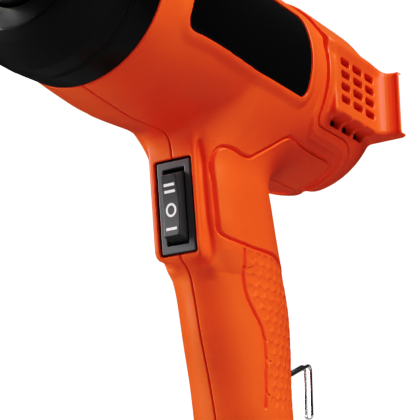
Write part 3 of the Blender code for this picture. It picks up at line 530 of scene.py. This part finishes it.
def rocker_outline():
    """Side view: a dished crown, steep ends, and a round back that clears its pocket."""
    crown = [(rocker_crown(height), height) for height in np.linspace(ROCKER_FACE, -ROCKER_FACE, 13)]
    upper = arc((0, 0), ROCKER_REACH, 90, 112, 3)
    lower = arc((0, 0), ROCKER_REACH, 248, 270, 3)
    return upper + crown + lower + [(1.5, -8), (1.5, 8)]


def rocker_crown(height):
    """Depth of the crown, before the pivot's own depth."""
    return -8.6 - 0.9 * (height / ROCKER_FACE) ** 2


def rocker(x, y, z):
    """Key with sides that taper outwards, on its pivot pin."""
    depth, height = to_switch(x, z)
    depth = depth - ROCKER_PIVOT_DEPTH
    side = polygon(depth, height, rocker_outline())
    proud = np.maximum(-4 - depth, 0)
    half_width = ROCKER_HALF_WIDTH - 0.1 * proud - 0.06 * proud * (height / ROCKER_FACE) ** 2
    body = smooth_max(side, np.abs(y) - half_width, 0.6)
    pin = np.maximum(np.hypot(depth, height) - 1, np.abs(y) - ROCKER_HALF_WIDTH - 0.8)
    return np.minimum(body, pin)


# ---------------------------------------------------------------- meshing

def gradient(field, points, step):
    """Slope of a field at points, from values a step to either side."""
    slopes = []
    for axis in range(3):
        shift = np.zeros(3)
        shift[axis] = step
        slopes.append(field(*(points + shift).T) - field(*(points - shift).T))
    return np.stack(slopes, 1) / (2 * step)


def onto_surface(field, points, cell, rounds=3):
    """Move points to where the field is zero, no further than a part of a cell each time."""
    for _ in range(rounds):
        slope = gradient(field, points, 0.1)
        value = field(*points.T)
        move = -value[:, None] * slope / np.maximum((slope ** 2).sum(1), 0.2)[:, None]
        length = np.linalg.norm(move, axis=1, keepdims=True)
        points = points + move * np.minimum(1, 0.35 * cell / np.maximum(length, 1e-9))
    return points


def surface_nets(values):
    """Vertices, in cells, and quads of the surface where values change sign."""
    inside = values < 0
    shape = np.array(values.shape)
    corners = [(i, j, k) for i in (0, 1) for j in (0, 1) for k in (0, 1)]
    count = sum(inside[i:shape[0] - 1 + i, j:shape[1] - 1 + j, k:shape[2] - 1 + k].astype(np.int8)
                for i, j, k in corners)
    cells = np.argwhere((count > 0) & (count < 8))
    ids = np.full(shape - 1, -1, np.int32)
    ids[tuple(cells.T)] = np.arange(len(cells))
    total, crossings = np.zeros((len(cells), 3)), np.zeros(len(cells))
    for start in corners:
        for axis in range(3):
            if start[axis]:
                continue
            end = list(start)
            end[axis] = 1
            low = values[tuple((cells + start).T)]
            high = values[tuple((cells + end).T)]
            cross = (low < 0) != (high < 0)
            t = low[cross] / (low[cross] - high[cross])
            point = np.repeat([start], cross.sum(), 0).astype(float)
            point[:, axis] = t
            total[cross] += point
            crossings[cross] += 1
    vertices = cells + total / crossings[:, None]
    quads = []
    for axis in range(3):
        second, third = (axis + 1) % 3, (axis + 2) % 3
        near = np.take(inside, range(shape[axis] - 1), axis)
        far = np.take(inside, range(1, shape[axis]), axis)
        edges = np.argwhere(near != far)
        room = (edges[:, second] > 0) & (edges[:, third] > 0)
        room &= (edges[:, second] < shape[second] - 1) & (edges[:, third] < shape[third] - 1)
        edges = edges[room]
        around = []
        for b, c in ((-1, -1), (0, -1), (0, 0), (-1, 0)):
            cell = edges.copy()
            cell[:, second] += b
            cell[:, third] += c
            around.append(ids[tuple(cell.T)])
        around = np.stack(around, 1)
        outward = inside[tuple(edges.T)]
        quads.append(np.where(outward[:, None], around, around[:, ::-1]))
    return vertices, np.vstack(quads)


def mesh_object(name, vertices, faces):
    """Object from vertices in millimetres."""
    mesh = bpy.data.meshes.new(name)
    mesh.from_pydata((vertices * MM).tolist(), [], faces.tolist())
    item = bpy.data.objects.new(name, mesh)
    bpy.context.scene.collection.objects.link(item)
    return item


def thin_out(item, most):
    """Collapse faces, first where the surface is flat, until few enough are left."""
    triangles = 2 * len(item.data.polygons)
    if triangles <= most:
        return
    modifier = item.modifiers.new("Thin", "DECIMATE")
    modifier.ratio = most / triangles
    evaluated = item.evaluated_get(bpy.context.evaluated_depsgraph_get())
    mesh = bpy.data.meshes.new_from_object(evaluated)
    item.modifiers.clear()
    item.data = mesh


def moulded(name, field, low, high, cell, most=MOST_FACES):
    """Closed mesh of a field, with its normals read from the field."""
    cell = cell * CELL_SCALE
    axes = [np.arange(a - 2 * cell, b + 2 * cell, cell) for a, b in zip(low, high)]
    shape = [len(axis) for axis in axes]
    values = np.empty(shape, np.float32)
    slab = max(1, int(2e6 / (shape[1] * shape[2])))
    for start in range(0, shape[0], slab):
        x, y, z = np.meshgrid(axes[0][start:start + slab], axes[1], axes[2], indexing="ij")
        values[start:start + slab] = field(x, y, z)
    vertices, quads = surface_nets(values)
    origin = np.array([axis[0] for axis in axes])
    vertices = onto_surface(field, origin + vertices * cell, cell)
    item = mesh_object(name, vertices, quads)
    thin_out(item, most)
    points = np.array([v.co for v in item.data.vertices]) / MM
    normals = gradient(field, points, 0.12)
    normals /= np.maximum(np.linalg.norm(normals, axis=1, keepdims=True), 1e-9)
    item.data.shade_smooth()
    item.data.normals_split_custom_set_from_vertices(normals.tolist())
    return item


def turned(name, outline, sides=128, angle=35):
    """Turn (x, radius) points about the barrel's axis into a closed ring."""
    outline = np.array(outline)
    turns = 2 * math.pi * np.arange(sides) / sides
    x = np.repeat(outline[:, 0], sides)
    radius = np.repeat(outline[:, 1], sides)
    a = np.tile(turns, len(outline))
    vertices = np.stack([x, radius * np.sin(a), AXIS_Z + radius * np.cos(a)], 1)
    faces = []
    for i in range(len(outline)):
        j = (i + 1) % len(outline)
        for k in range(sides):
            n = (k + 1) % sides
            faces.append((i * sides + k, i * sides + n, j * sides + n, j * sides + k))
    item = mesh_object(name, vertices, np.array(faces))
    bm = bmesh.new()
    bm.from_mesh(item.data)
    bmesh.ops.recalc_face_normals(bm, faces=bm.faces)
    bm.to_mesh(item.data)
    bm.free()
    item.data.shade_smooth()
    item.data.set_sharp_from_angle(angle=math.radians(angle))
    return item


def wire(name, points, radius, sides=16):
    """Round wire along a path, with closed ends."""
    points = [Vector(p) for p in points]
    bm = bmesh.new()
    side = (points[1] - points[0]).orthogonal().normalized()
    loops = []
    for i, point in enumerate(points):
        along = (points[min(i + 1, len(points) - 1)] - points[max(i - 1, 0)]).normalized()
        side = (side - along * side.dot(along)).normalized()
        other = along.cross(side)
        angles = [2 * math.pi * k / sides for k in range(sides)]
        ring = [point + radius * (side * math.cos(a) + other * math.sin(a)) for a in angles]
        loops.append([bm.verts.new(p * MM) for p in ring])
    for near, far in zip(loops, loops[1:]):
        for k in range(sides):
            n = (k + 1) % sides
            bm.faces.new((near[k], near[n], far[n], far[k]))
    bm.faces.new(loops[0])
    bm.faces.new(loops[-1])
    bmesh.ops.recalc_face_normals(bm, faces=bm.faces)
    mesh = bpy.data.meshes.new(name)
    bm.to_mesh(mesh)
    bm.free()
    mesh.shade_smooth()
    mesh.set_sharp_from_angle(angle=math.radians(50))
    item = bpy.data.objects.new(name, mesh)
    bpy.context.scene.collection.objects.link(item)
    return item


# ---------------------------------------------------------------- materials

class Nodes:
    """Short calls for building one material's nodes."""

    def __init__(self, name, colour, roughness, metallic=0.0):
        self.material = bpy.data.materials.new(name)
        self.material.use_nodes = True
        self.tree = self.material.node_tree
        self.shader = self.tree.nodes["Principled BSDF"]
        self.shader.inputs["Base Color"].default_value = (*colour, 1)
        self.shader.inputs["Roughness"].default_value = roughness
        self.shader.inputs["Metallic"].default_value = metallic
        self.shader.inputs["Specular IOR Level"].default_value = 0.5
        self.place = self.tree.nodes.new("ShaderNodeTexCoord").outputs["Object"]

    def noise(self, scale, detail=2.0, roughness=0.5, stretch=None):
        node = self.tree.nodes.new("ShaderNodeTexNoise")
        node.inputs["Scale"].default_value = scale
        node.inputs["Detail"].default_value = detail
        node.inputs["Roughness"].default_value = roughness
        place = self.place
        if stretch:
            mapping = self.tree.nodes.new("ShaderNodeMapping")
            mapping.inputs["Scale"].default_value = stretch
            self.tree.links.new(place, mapping.inputs["Vector"])
            place = mapping.outputs["Vector"]
        self.tree.links.new(place, node.inputs["Vector"])
        return node.outputs["Fac"]

    def ramp(self, source, low, high, start=0.35, end=0.65):
        """Map a value from start..end to low..high."""
        node = self.tree.nodes.new("ShaderNodeMapRange")
        node.inputs["From Min"].default_value = start
        node.inputs["From Max"].default_value = end
        node.inputs["To Min"].default_value = low
        node.inputs["To Max"].default_value = high
        self.tree.links.new(source, node.inputs["Value"])
        return node.outputs["Result"]

    def blend(self, factor, first, second):
        node = self.tree.nodes.new("ShaderNodeMix")
        node.data_type = "RGBA"
        node.inputs["A"].default_value = (*first, 1)
        node.inputs["B"].default_value = (*second, 1)
        self.tree.links.new(factor, node.inputs["Factor"])
        return node.outputs["Result"]

    def link(self, source, name):
        self.tree.links.new(source, self.shader.inputs[name])

    def bump(self, source, distance, strength=1.0):
        node = self.tree.nodes.new("ShaderNodeBump")
        node.inputs["Strength"].default_value = strength
        node.inputs["Distance"].default_value = distance
        self.tree.links.new(source, node.inputs["Height"])
        self.link(node.outputs["Normal"], "Normal")


def scaled(colour, factor):
    return tuple(min(1, c * factor) for c in colour)


def plastic(name, colour, roughness, grain=0.00004):
    """Moulded plastic: fine spark grain, faint flow marks in colour, and patchy gloss from handling."""
    made = Nodes(name, colour, roughness)
    made.bump(made.noise(1500, 3), grain, 0.5)
    patches = made.noise(45, 3)
    made.link(made.ramp(patches, roughness - 0.05, roughness + 0.07), "Roughness")
    flow = made.ramp(made.noise(18, 4), 0, 1)
    made.link(made.blend(flow, scaled(colour, 0.95), scaled(colour, 1.05)), "Base Color")
    return made.material


def metal(name, colour, roughness, stretch=(1, 1, 1), scale=900):
    """Drawn or turned metal: fine lines along one direction and a cloudy sheen."""
    made = Nodes(name, colour, roughness, metallic=1.0)
    lines = made.noise(scale, 3, stretch=stretch)
    made.bump(lines, 0.00002, 0.4)
    made.link(made.ramp(made.noise(80, 3), roughness - 0.06, roughness + 0.08), "Roughness")
    made.link(made.blend(made.ramp(lines, 0, 1), scaled(colour, 0.85), scaled(colour, 1.1)), "Base Color")
    return made.material


def speckled(name, colour, other, roughness, scale=700):
    """Mineral, fibre or ferrite: grains of two tones with a rough face."""
    made = Nodes(name, colour, roughness)
    grains = made.noise(scale, 4, 0.6)
    made.bump(grains, 0.00006, 0.6)
    made.link(made.blend(made.ramp(grains, 0, 1), colour, other), "Base Color")
    made.link(made.ramp(grains, roughness - 0.05, roughness + 0.1), "Roughness")
    return made.material


def hot_steel(name):
    """Steel outlet tube, tinted by heat towards its open end."""
    made = Nodes(name, (0.5, 0.48, 0.46), 0.3, metallic=1.0)
    split = made.tree.nodes.new("ShaderNodeSeparateXYZ")
    made.tree.links.new(made.place, split.inputs["Vector"])
    heat = made.ramp(split.outputs["X"], 1, 0, TIP_X * MM, (TIP_X + 28) * MM)
    made.link(made.blend(heat, (0.5, 0.485, 0.465), (0.42, 0.31, 0.2)), "Base Color")
    made.link(made.ramp(made.noise(120, 3), 0.26, 0.38), "Roughness")
    made.bump(made.noise(700, 3, stretch=(0.05, 1, 1)), 0.00002, 0.4)
    return made.material


def gloss_black(name):
    """Polished black plate with slightly uneven gloss."""
    made = Nodes(name, (0.012, 0.012, 0.013), 0.08)
    made.link(made.ramp(made.noise(60, 4), 0.06, 0.13), "Roughness")
    made.bump(made.noise(250, 2), 0.000004, 0.3)
    return made.material


def painted_shade_screen_mesh(name):
    """Woven screen in the housing's orange darkened to painted shade, with its openings painted near black
    as shade.
    """
    made = Nodes(name, (0.3, 0.02, 0.008), 0.6)
    cells = made.tree.nodes.new("ShaderNodeTexVoronoi")
    cells.inputs["Scale"].default_value = 900
    cells.inputs["Randomness"].default_value = 0.2
    made.tree.links.new(made.place, cells.inputs["Vector"])
    holes = made.ramp(cells.outputs["Distance"], 0, 1, 0.2, 0.45)
    made.link(made.blend(holes, (0.05, 0.004, 0.002), (0.42, 0.03, 0.01)), "Base Color")
    made.bump(cells.outputs["Distance"], 0.0002, 0.5)
    return made.material


def chrome(name):
    """Plated wire, with faint lines along it."""
    made = Nodes(name, (0.78, 0.78, 0.79), 0.1, metallic=1.0)
    made.link(made.ramp(made.noise(300, 3), 0.07, 0.17), "Roughness")
    made.bump(made.noise(900, 2, stretch=(1, 1, 0.2)), 0.000006, 0.4)
    return made.material


def circuit(name):
    """Green circuit board with lighter tracks."""
    made = Nodes(name, (0.1, 0.2, 0.05), 0.4)
    tracks = made.tree.nodes.new("ShaderNodeTexVoronoi")
    tracks.inputs["Scale"].default_value = 220
    made.tree.links.new(made.place, tracks.inputs["Vector"])
    made.link(made.blend(made.ramp(tracks.outputs["Distance"], 0, 1, 0.2, 0.3), (0.2, 0.32, 0.08),
                         (0.08, 0.17, 0.04)), "Base Color")
    made.bump(tracks.outputs["Distance"], 0.00003, 0.4)
    return made.material


def paint_cad_nodes():
    """Procedural materials for the CAD nodes that show as they are."""
    brass = metal("brass", (0.78, 0.58, 0.26), 0.3)
    bronze = metal("bearing_bronze", (0.6, 0.42, 0.2), 0.4)
    steel = metal("bare_steel", (0.52, 0.52, 0.53), 0.34, (0.1, 1, 1))
    laminations = metal("laminations", (0.36, 0.35, 0.34), 0.45, (6, 0.1, 0.1), 400)
    ferrite = speckled("ferrite", (0.045, 0.045, 0.047), (0.075, 0.075, 0.078), 0.7)
    mica = speckled("mica", (0.56, 0.47, 0.34), (0.68, 0.6, 0.47), 0.5, 350)
    ceramic = speckled("flange_ceramic", (0.74, 0.7, 0.63), (0.82, 0.79, 0.73), 0.65)
    coil = metal("heater_wire", (0.32, 0.27, 0.23), 0.5)
    paints = {
        "heat_shield": metal("shield_aluminium", (0.72, 0.72, 0.73), 0.35, (0.1, 1, 1)),
        "mica_sleeve": mica, "element_core": mica, "element_flange": ceramic,
        "heater_coil_front": coil, "heater_coil_rear": coil, "thermal_cutout": steel,
        "motor_bracket": plastic("bracket_plastic", (0.03, 0.03, 0.031), 0.5),
        "fan_impeller": plastic("fan_plastic", (0.68, 0.67, 0.64), 0.45),
        "motor_can": steel, "motor_magnet_left": ferrite, "motor_magnet_right": ferrite,
        "motor_bearing_front": bronze, "motor_bearing_rear": bronze,
        "motor_end_cap": plastic("end_cap_plastic", (0.8, 0.77, 0.68), 0.5),
        "motor_screw_1": steel, "motor_screw_2": steel, "motor_shaft": steel,
        "motor_armature": laminations,
        "rectifier_board": circuit("circuit_board"),
        "capacitor": plastic("capacitor_sleeve", (0.03, 0.08, 0.3), 0.35),
        "cord_clamp": speckled("clamp_fibre", (0.06, 0.05, 0.045), (0.1, 0.085, 0.07), 0.6),
        "clamp_screw_1": steel, "clamp_screw_2": steel,
        "lead_live": plastic("lead_brown", (0.22, 0.09, 0.04), 0.45),
        "lead_neutral": plastic("lead_blue", (0.03, 0.1, 0.4), 0.45),
        "lead_heater": plastic("lead_white", (0.62, 0.61, 0.58), 0.5),
    }
    diode = plastic("diode_case", (0.015, 0.015, 0.016), 0.4)
    paints.update({f"diode_{i}": diode for i in range(1, 5)})
    paints.update({f"switch_terminal_{i}": brass for i in range(1, 4)})
    for node, material in paints.items():
        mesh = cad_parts[node].data
        mesh.materials.clear()
        mesh.materials.append(material)


# ---------------------------------------------------------------- pieces

SIDES = (("left", -1), ("right", 1))


def dress(item, material, body, stands_for=()):
    """Give a piece its material and its body, and hide the CAD nodes that it stands for."""
    item.data.materials.clear()
    item.data.materials.append(material)
    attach(item, body)
    if stands_for:
        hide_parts(*stands_for)
    return item


def node_box(*names):
    """Box round CAD nodes, in millimetres."""
    boxes = [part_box(name) for name in names]
    low = [min(b[0][i] for b in boxes) / MM for i in range(3)]
    high = [max(b[1][i] for b in boxes) / MM for i in range(3)]
    return low, high


def set_depth(low, high, side, near, far):
    """Let a box run from near to far on one side of the centre plane."""
    low[1], high[1] = (-far, -near) if side < 0 else (near, far)


def build_housing():
    orange = plastic("orange_plastic", ORANGE, 0.42)
    for name, side in SIDES:
        low, high = node_box(f"housing_{name}")
        set_depth(low, high, side, 0, 42)
        half = moulded(f"shell_{name}", housing_half(side), low, high, 0.55)
        dress(half, orange, "casing", [f"housing_{name}"])
    cap = moulded("shell_rear", rear_cap, *node_box("rear_cap"), 0.55)
    dress(cap, orange, "casing", ["rear_cap"])


def build_screens():
    # The screens' dark red is painted shade for the inside of the vent slots.
    painted_shade_red = painted_shade_screen_mesh("vent_shade_screen")
    for name, side in SIDES:
        low, high = [SCREEN_X[0], 0, 121], [SCREEN_X[1], 0, 152]
        set_depth(low, high, side, SCREEN_Y, 37)
        screen = moulded(f"screen_{name}", vent_shade_screen(side), low, high, 0.45, 30000)
        dress(screen, painted_shade_red, "casing")


def build_labels():
    gloss = gloss_black("label_gloss")
    for name, side in SIDES:
        low, high = node_box(f"label_{name}")
        set_depth(low, high, side, 28, 41)
        plate = moulded(f"plate_{name}", label_plate(side), low, high, 0.5, 60000)
        dress(plate, gloss, "casing", [f"label_{name}"])


def rounded(outline, amount=0.5):
    """Cut each corner of a closed outline back with a short curve."""
    outline = [np.array(p, float) for p in outline]
    result = []
    for before, here, after in zip(outline[-1:] + outline[:-1], outline, outline[1:] + outline[:1]):
        reach = min(amount, 0.45 * np.linalg.norm(before - here), 0.45 * np.linalg.norm(after - here))
        start = here + (before - here) / np.linalg.norm(before - here) * reach
        end = here + (after - here) / np.linalg.norm(after - here) * reach
        for t in (0, 0.25, 0.5, 0.75, 1):
            result.append(start * (1 - t) ** 2 + here * 2 * t * (1 - t) + end * t ** 2)
    return result


def build_collar():
    """Nose ring with its groove, and the spigot that goes into the housing."""
    rim = BODY_FRONT_X - 0.3
    outline = [(rim, 32.6), (rim, 35.7), (-51.0, 36.2), (-51.7, 35.3), (-52.7, 35.3), (-53.4, 36.3),
               (-60, 36.0), (-66, 33.5), (-71, 29.5), (-73.3, 26.0), (-73.3, 18.2), (-71.3, 18.2),
               (-71.1, 24.5), (-65, 30.3), (-59, 32.6), (rim - 4, 32.4), (rim - 4, 30.4),
               (rim + 6, 30.4), (rim + 6, 32.6)]
    collar = turned("nose_ring", rounded(outline, 0.8), 160)
    black = plastic("black_plastic", (0.009, 0.009, 0.01), 0.3, 0.00005)
    dress(collar, black, "casing", ["front_collar"])


def build_nozzle():
    """Outlet tube, wider inside the collar."""
    wall = 0.8
    outer = [(TIP_X, 17.2), (-70.9, 17.2), (-66, 23), (-64.5, 24), (-29.3, 24)]
    inner = [(x, r - wall) for x, r in reversed(outer)]
    tube = turned("outlet_tube", rounded(outer + inner, 0.35), 128)
    dress(tube, hot_steel("nozzle_steel"), "casing", ["nozzle"])


def build_switch():
    body = moulded("switch_frame", switch_body, *node_box("switch_body"), 0.3, 90000)
    frame_grey = plastic("switch_grey", (0.155, 0.157, 0.163), 0.4, 0.00003)
    dress(body, frame_grey, "casing", ["switch_body"])
    low, high = node_box("rocker")
    # The crown stands further out than the CAD rocker's
    low[0] -= 2
    key = moulded("rocker_key", rocker, low, high, 0.22, 60000)
    key_grey = plastic("rocker_grey", (0.105, 0.106, 0.11), 0.42, 0.00003)
    dress(key, key_grey, "rocker", ["rocker"])
    build_marks()


def crown_strip(name, outline_rows):
    """Printed mark on the rocker's crown, from rows of (y, height) points joined to their neighbours."""
    lean_cos, lean_sin = math.cos(SWITCH_LEAN), math.sin(SWITCH_LEAN)
    vertices = []
    for row in outline_rows:
        for y, height in row:
            depth = rocker_crown(height) + ROCKER_PIVOT_DEPTH - 0.03
            vertices.append((SWITCH_CENTRE[0] + lean_cos * depth - lean_sin * height, y,
                             SWITCH_CENTRE[2] + lean_sin * depth + lean_cos * height))
    width = len(outline_rows[0])
    faces = []
    for i in range(len(outline_rows) - 1):
        for j in range(width - 1):
            a = i * width + j
            faces.append((a, a + 1, a + width + 1, a + width))
    item = mesh_object(name, np.array(vertices), np.array(faces))
    item.data.shade_smooth()
    return item


def build_marks():
    """Generic position marks: two bars, a ring and one bar."""
    white = Nodes("printed_white", (0.86, 0.86, 0.86), 0.5)
    white.link(white.ramp(white.noise(900, 2), 0.42, 0.58), "Roughness")
    half_width, half_height = MARK_BAR_HALF
    for i, level in enumerate(MARK_BAR_LEVELS):
        rows = [[(y, level + offset) for y in (-half_width, -1, 1, half_width)]
                for offset in (-half_height, 0, half_height)]
        dress(crown_strip(f"mark_bar_{i + 1}", rows), white.material, "rocker")
    angles = np.linspace(0, 2 * math.pi, 49)
    rows = [[(width * math.cos(a), MARK_RING_LEVEL + height * math.sin(a)) for a in angles]
            for width, height in (MARK_RING_OUTER, MARK_RING_INNER)]
    dress(crown_strip("mark_ring", rows), white.material, "rocker")


def hook_points():
    """Centre line of the wire: trunnion, arm, bend, leg, turn at the end and back up the other side."""
    pivot, corner = Vector(HOOK_PIVOT), Vector(HOOK_BEND)
    arm, down = (corner - pivot).normalized(), Vector((0, 0, -1))
    start, end = corner - arm * HOOK_BEND_REACH, corner + down * HOOK_BEND_REACH
    half = [pivot + arm * HOOK_INNER_BEND, start]
    for i in range(1, 8):
        t = i / 8
        half.append(start * (1 - t) ** 2 + corner * 2 * t * (1 - t) + end * t ** 2)
    half += [end, corner + down * HOOK_LEG]
    side = Vector((0, HOOK_HALF_WIDTH, 0))
    foot = []
    for i in range(1, 8):
        angle = math.pi * i / 8
        foot.append(corner + down * (HOOK_LEG + HOOK_HALF_WIDTH * math.sin(angle)) - side * math.cos(angle))
    near, far = Vector((0, HOOK_TRUNNION_Y, 0)), Vector((0, HOOK_HALF_WIDTH + HOOK_INNER_BEND, 0))
    left = [point - side for point in half]
    right = [point + side for point in reversed(half)]
    return [pivot - near, pivot - far] + left + foot + right + [pivot + far, pivot + near]


def build_hook():
    hook = wire("wire_hook", hook_points(), WIRE_R, 20)
    dress(hook, chrome("chrome_wire"), "hook", ["hook_stand"])


def build_gland():
    """Rubber bush in the handle's base, turned about its own upright axis."""
    floor = WALL + 0.3
    outline = [(0.2, 7.5), (floor, 7.5), (floor, 9.5), (floor + 2, 9.5), (floor + 2.2, 6.5),
               (13, 5.7), (13, 4), (0.2, 4)]
    bush = turned("cable_bush", rounded(outline, 0.4), 64)
    to_origin = Matrix.Translation((0, 0, -AXIS_Z * MM))
    upright = Matrix.Rotation(-math.pi / 2, 4, "Y")
    to_outlet = Matrix.Translation((OUTLET_X * MM, 0, 0))
    bush.data.transform(to_outlet @ upright @ to_origin)
    rubber = plastic("rubber_black", (0.018, 0.018, 0.018), 0.65, 0.0001)
    dress(bush, rubber, "casing", ["cable_gland"])


def screw_field(x, y, z):
    """Pan head with a cross recess, and its shank. The head's top is at y = 0."""
    radius = np.hypot(x, z)
    half_height = SCREW_HEAD_HEIGHT / 2
    head = smooth_max(radius - SCREW_HEAD_R, np.abs(y + half_height) - half_height, 0.7)
    across, up = np.abs(x), np.abs(z)
    arms = np.minimum(np.maximum(across - CROSS_HALF_WIDTH, up - CROSS_HALF_LENGTH),
                      np.maximum(up - CROSS_HALF_WIDTH, across - CROSS_HALF_LENGTH))
    head = smooth_max(head, -np.maximum(arms, -CROSS_DEPTH - y), 0.25)
    shank = np.maximum(radius - SCREW_SHANK_R, np.maximum(y + 1.5, SCREW_END_Y - y))
    return smooth_min(head, shank, 0.2)


def build_screws():
    steel = metal("screw_steel", (0.42, 0.42, 0.43), 0.34)
    low, high = (-SCREW_HEAD_R, SCREW_END_Y, -SCREW_HEAD_R), (SCREW_HEAD_R, 0, SCREW_HEAD_R)
    first = moulded("case_screw_1", screw_field, low, high, 0.25, 20000)
    for i, (x, z) in enumerate(BOSSES):
        item = first if i == 0 else bpy.data.objects.new(f"case_screw_{i + 1}", first.data)
        if i:
            bpy.context.scene.collection.objects.link(item)
        item.location = (x * MM, (SCREW_HEAD_Y + SCREW_HEAD_HEIGHT) * MM, z * MM)
        dress(item, steel, "casing", [f"housing_screw_{i + 1}"])


# ---------------------------------------------------------------- studio

CAMERA_PLACE = (-0.38487, -0.28013, -0.06922)
CAMERA_YAW = math.radians(56.56)
CAMERA_PITCH = math.radians(16.58)
CAMERA_ROLL = math.radians(-0.64)
CAMERA_LENS = 118.2
FILL_LIGHT = 0.12
BACKDROP_WHITE = 1.05
FLOOR_Z = -0.12
FLOOR_HALF = 3


def build_camera():
    """Camera below and to the front left of the gun."""
    yaw, pitch, roll = CAMERA_YAW, CAMERA_PITCH, CAMERA_ROLL
    level = Vector((math.cos(yaw), -math.sin(yaw), 0))
    forward = Vector((math.sin(yaw) * math.cos(pitch), math.cos(yaw) * math.cos(pitch), math.sin(pitch)))
    upward = level.cross(forward)
    right = level * math.cos(roll) + upward * math.sin(roll)
    up = -level * math.sin(roll) + upward * math.cos(roll)
    data = bpy.data.cameras.new("camera")
    data.lens = CAMERA_LENS
    data.sensor_width = 36
    data.clip_start = 0.02
    data.clip_end = 50
    camera = bpy.data.objects.new("camera", data)
    turn = Matrix((right, up, -forward)).transposed().to_4x4()
    camera.matrix_world = Matrix.Translation(CAMERA_PLACE) @ turn
    bpy.context.scene.collection.objects.link(camera)
    bpy.context.scene.camera = camera


def soft_light(name, place, target, size, power):
    """White area light that points at a target."""
    data = bpy.data.lights.new(name, "AREA")
    data.shape = "RECTANGLE"
    data.size, data.size_y = size
    data.energy = power
    light = bpy.data.objects.new(name, data)
    light.location = place
    light.rotation_mode = "QUATERNION"
    light.rotation_quaternion = (Vector(target) - Vector(place)).to_track_quat("-Z", "Y")
    bpy.context.scene.collection.objects.link(light)


def film_curve(view):
    """Contrast of a product shot: dark tones drop further, so shaded orange turns deep red."""
    view.use_curve_mapping = True
    combined = 3
    curve = view.curve_mapping.curves[combined]
    for place, value in FILM_CURVE:
        curve.points.new(place, value)
    view.curve_mapping.update()


def build_world():
    """Dim light from all round, which the camera sees as a white backdrop."""
    world = bpy.data.worlds.new("studio")
    world.use_nodes = True
    tree = world.node_tree
    background = tree.nodes["Background"]
    background.inputs["Color"].default_value = (1, 1, 1, 1)
    background.inputs["Strength"].default_value = FILL_LIGHT
    white = tree.nodes.new("ShaderNodeBackground")
    white.inputs["Color"].default_value = (1, 1, 1, 1)
    white.inputs["Strength"].default_value = BACKDROP_WHITE
    mix = tree.nodes.new("ShaderNodeMixShader")
    rays = tree.nodes.new("ShaderNodeLightPath")
    tree.links.new(rays.outputs["Is Camera Ray"], mix.inputs["Fac"])
    tree.links.new(background.outputs["Background"], mix.inputs[1])
    tree.links.new(white.outputs["Background"], mix.inputs[2])
    tree.links.new(mix.outputs["Shader"], tree.nodes["World Output"].inputs["Surface"])
    bpy.context.scene.world = world


def build_floor():
    bm = bmesh.new()
    bmesh.ops.create_grid(bm, x_segments=2, y_segments=2, size=FLOOR_HALF)
    mesh = bpy.data.meshes.new("floor")
    bm.to_mesh(mesh)
    bm.free()
    floor = bpy.data.objects.new("floor", mesh)
    floor.location = (0, 0, FLOOR_Z)
    bpy.context.scene.collection.objects.link(floor)
    pale = Nodes("floor_pale", (0.6, 0.6, 0.6), 0.6)
    pale.link(pale.ramp(pale.noise(6, 3), 0.55, 0.7), "Roughness")
    mesh.materials.append(pale.material)
    floor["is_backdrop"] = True


def build_studio():
    scene = bpy.context.scene
    scene.view_settings.view_transform = "Standard"
    film_curve(scene.view_settings)
    build_world()
    middle = (0.03, 0, 0.1)
    soft_light("key", (-0.15, -0.85, 0.8), middle, (0.55, 0.55), 12)
    soft_light("rim", (-0.5, 0.8, 0.4), middle, (0.4, 0.8), 9)
    soft_light("top", (0.2, 0.1, 1.1), middle, (0.9, 0.9), 2)
    build_floor()


def write_size():
    """Gather the CAD's box and the visual model's box into a table, which is not kept."""
    boxes = {"cad": CAD_BOX, "visual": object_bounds()}
    {name: [list(corner) for corner in box] for name, box in boxes.items()}


build_camera()
build_studio()
paint_cad_nodes()
build_housing()
build_screens()
build_labels()
build_collar()
build_nozzle()
build_switch()
build_hook()
build_gland()
build_screws()
write_size()
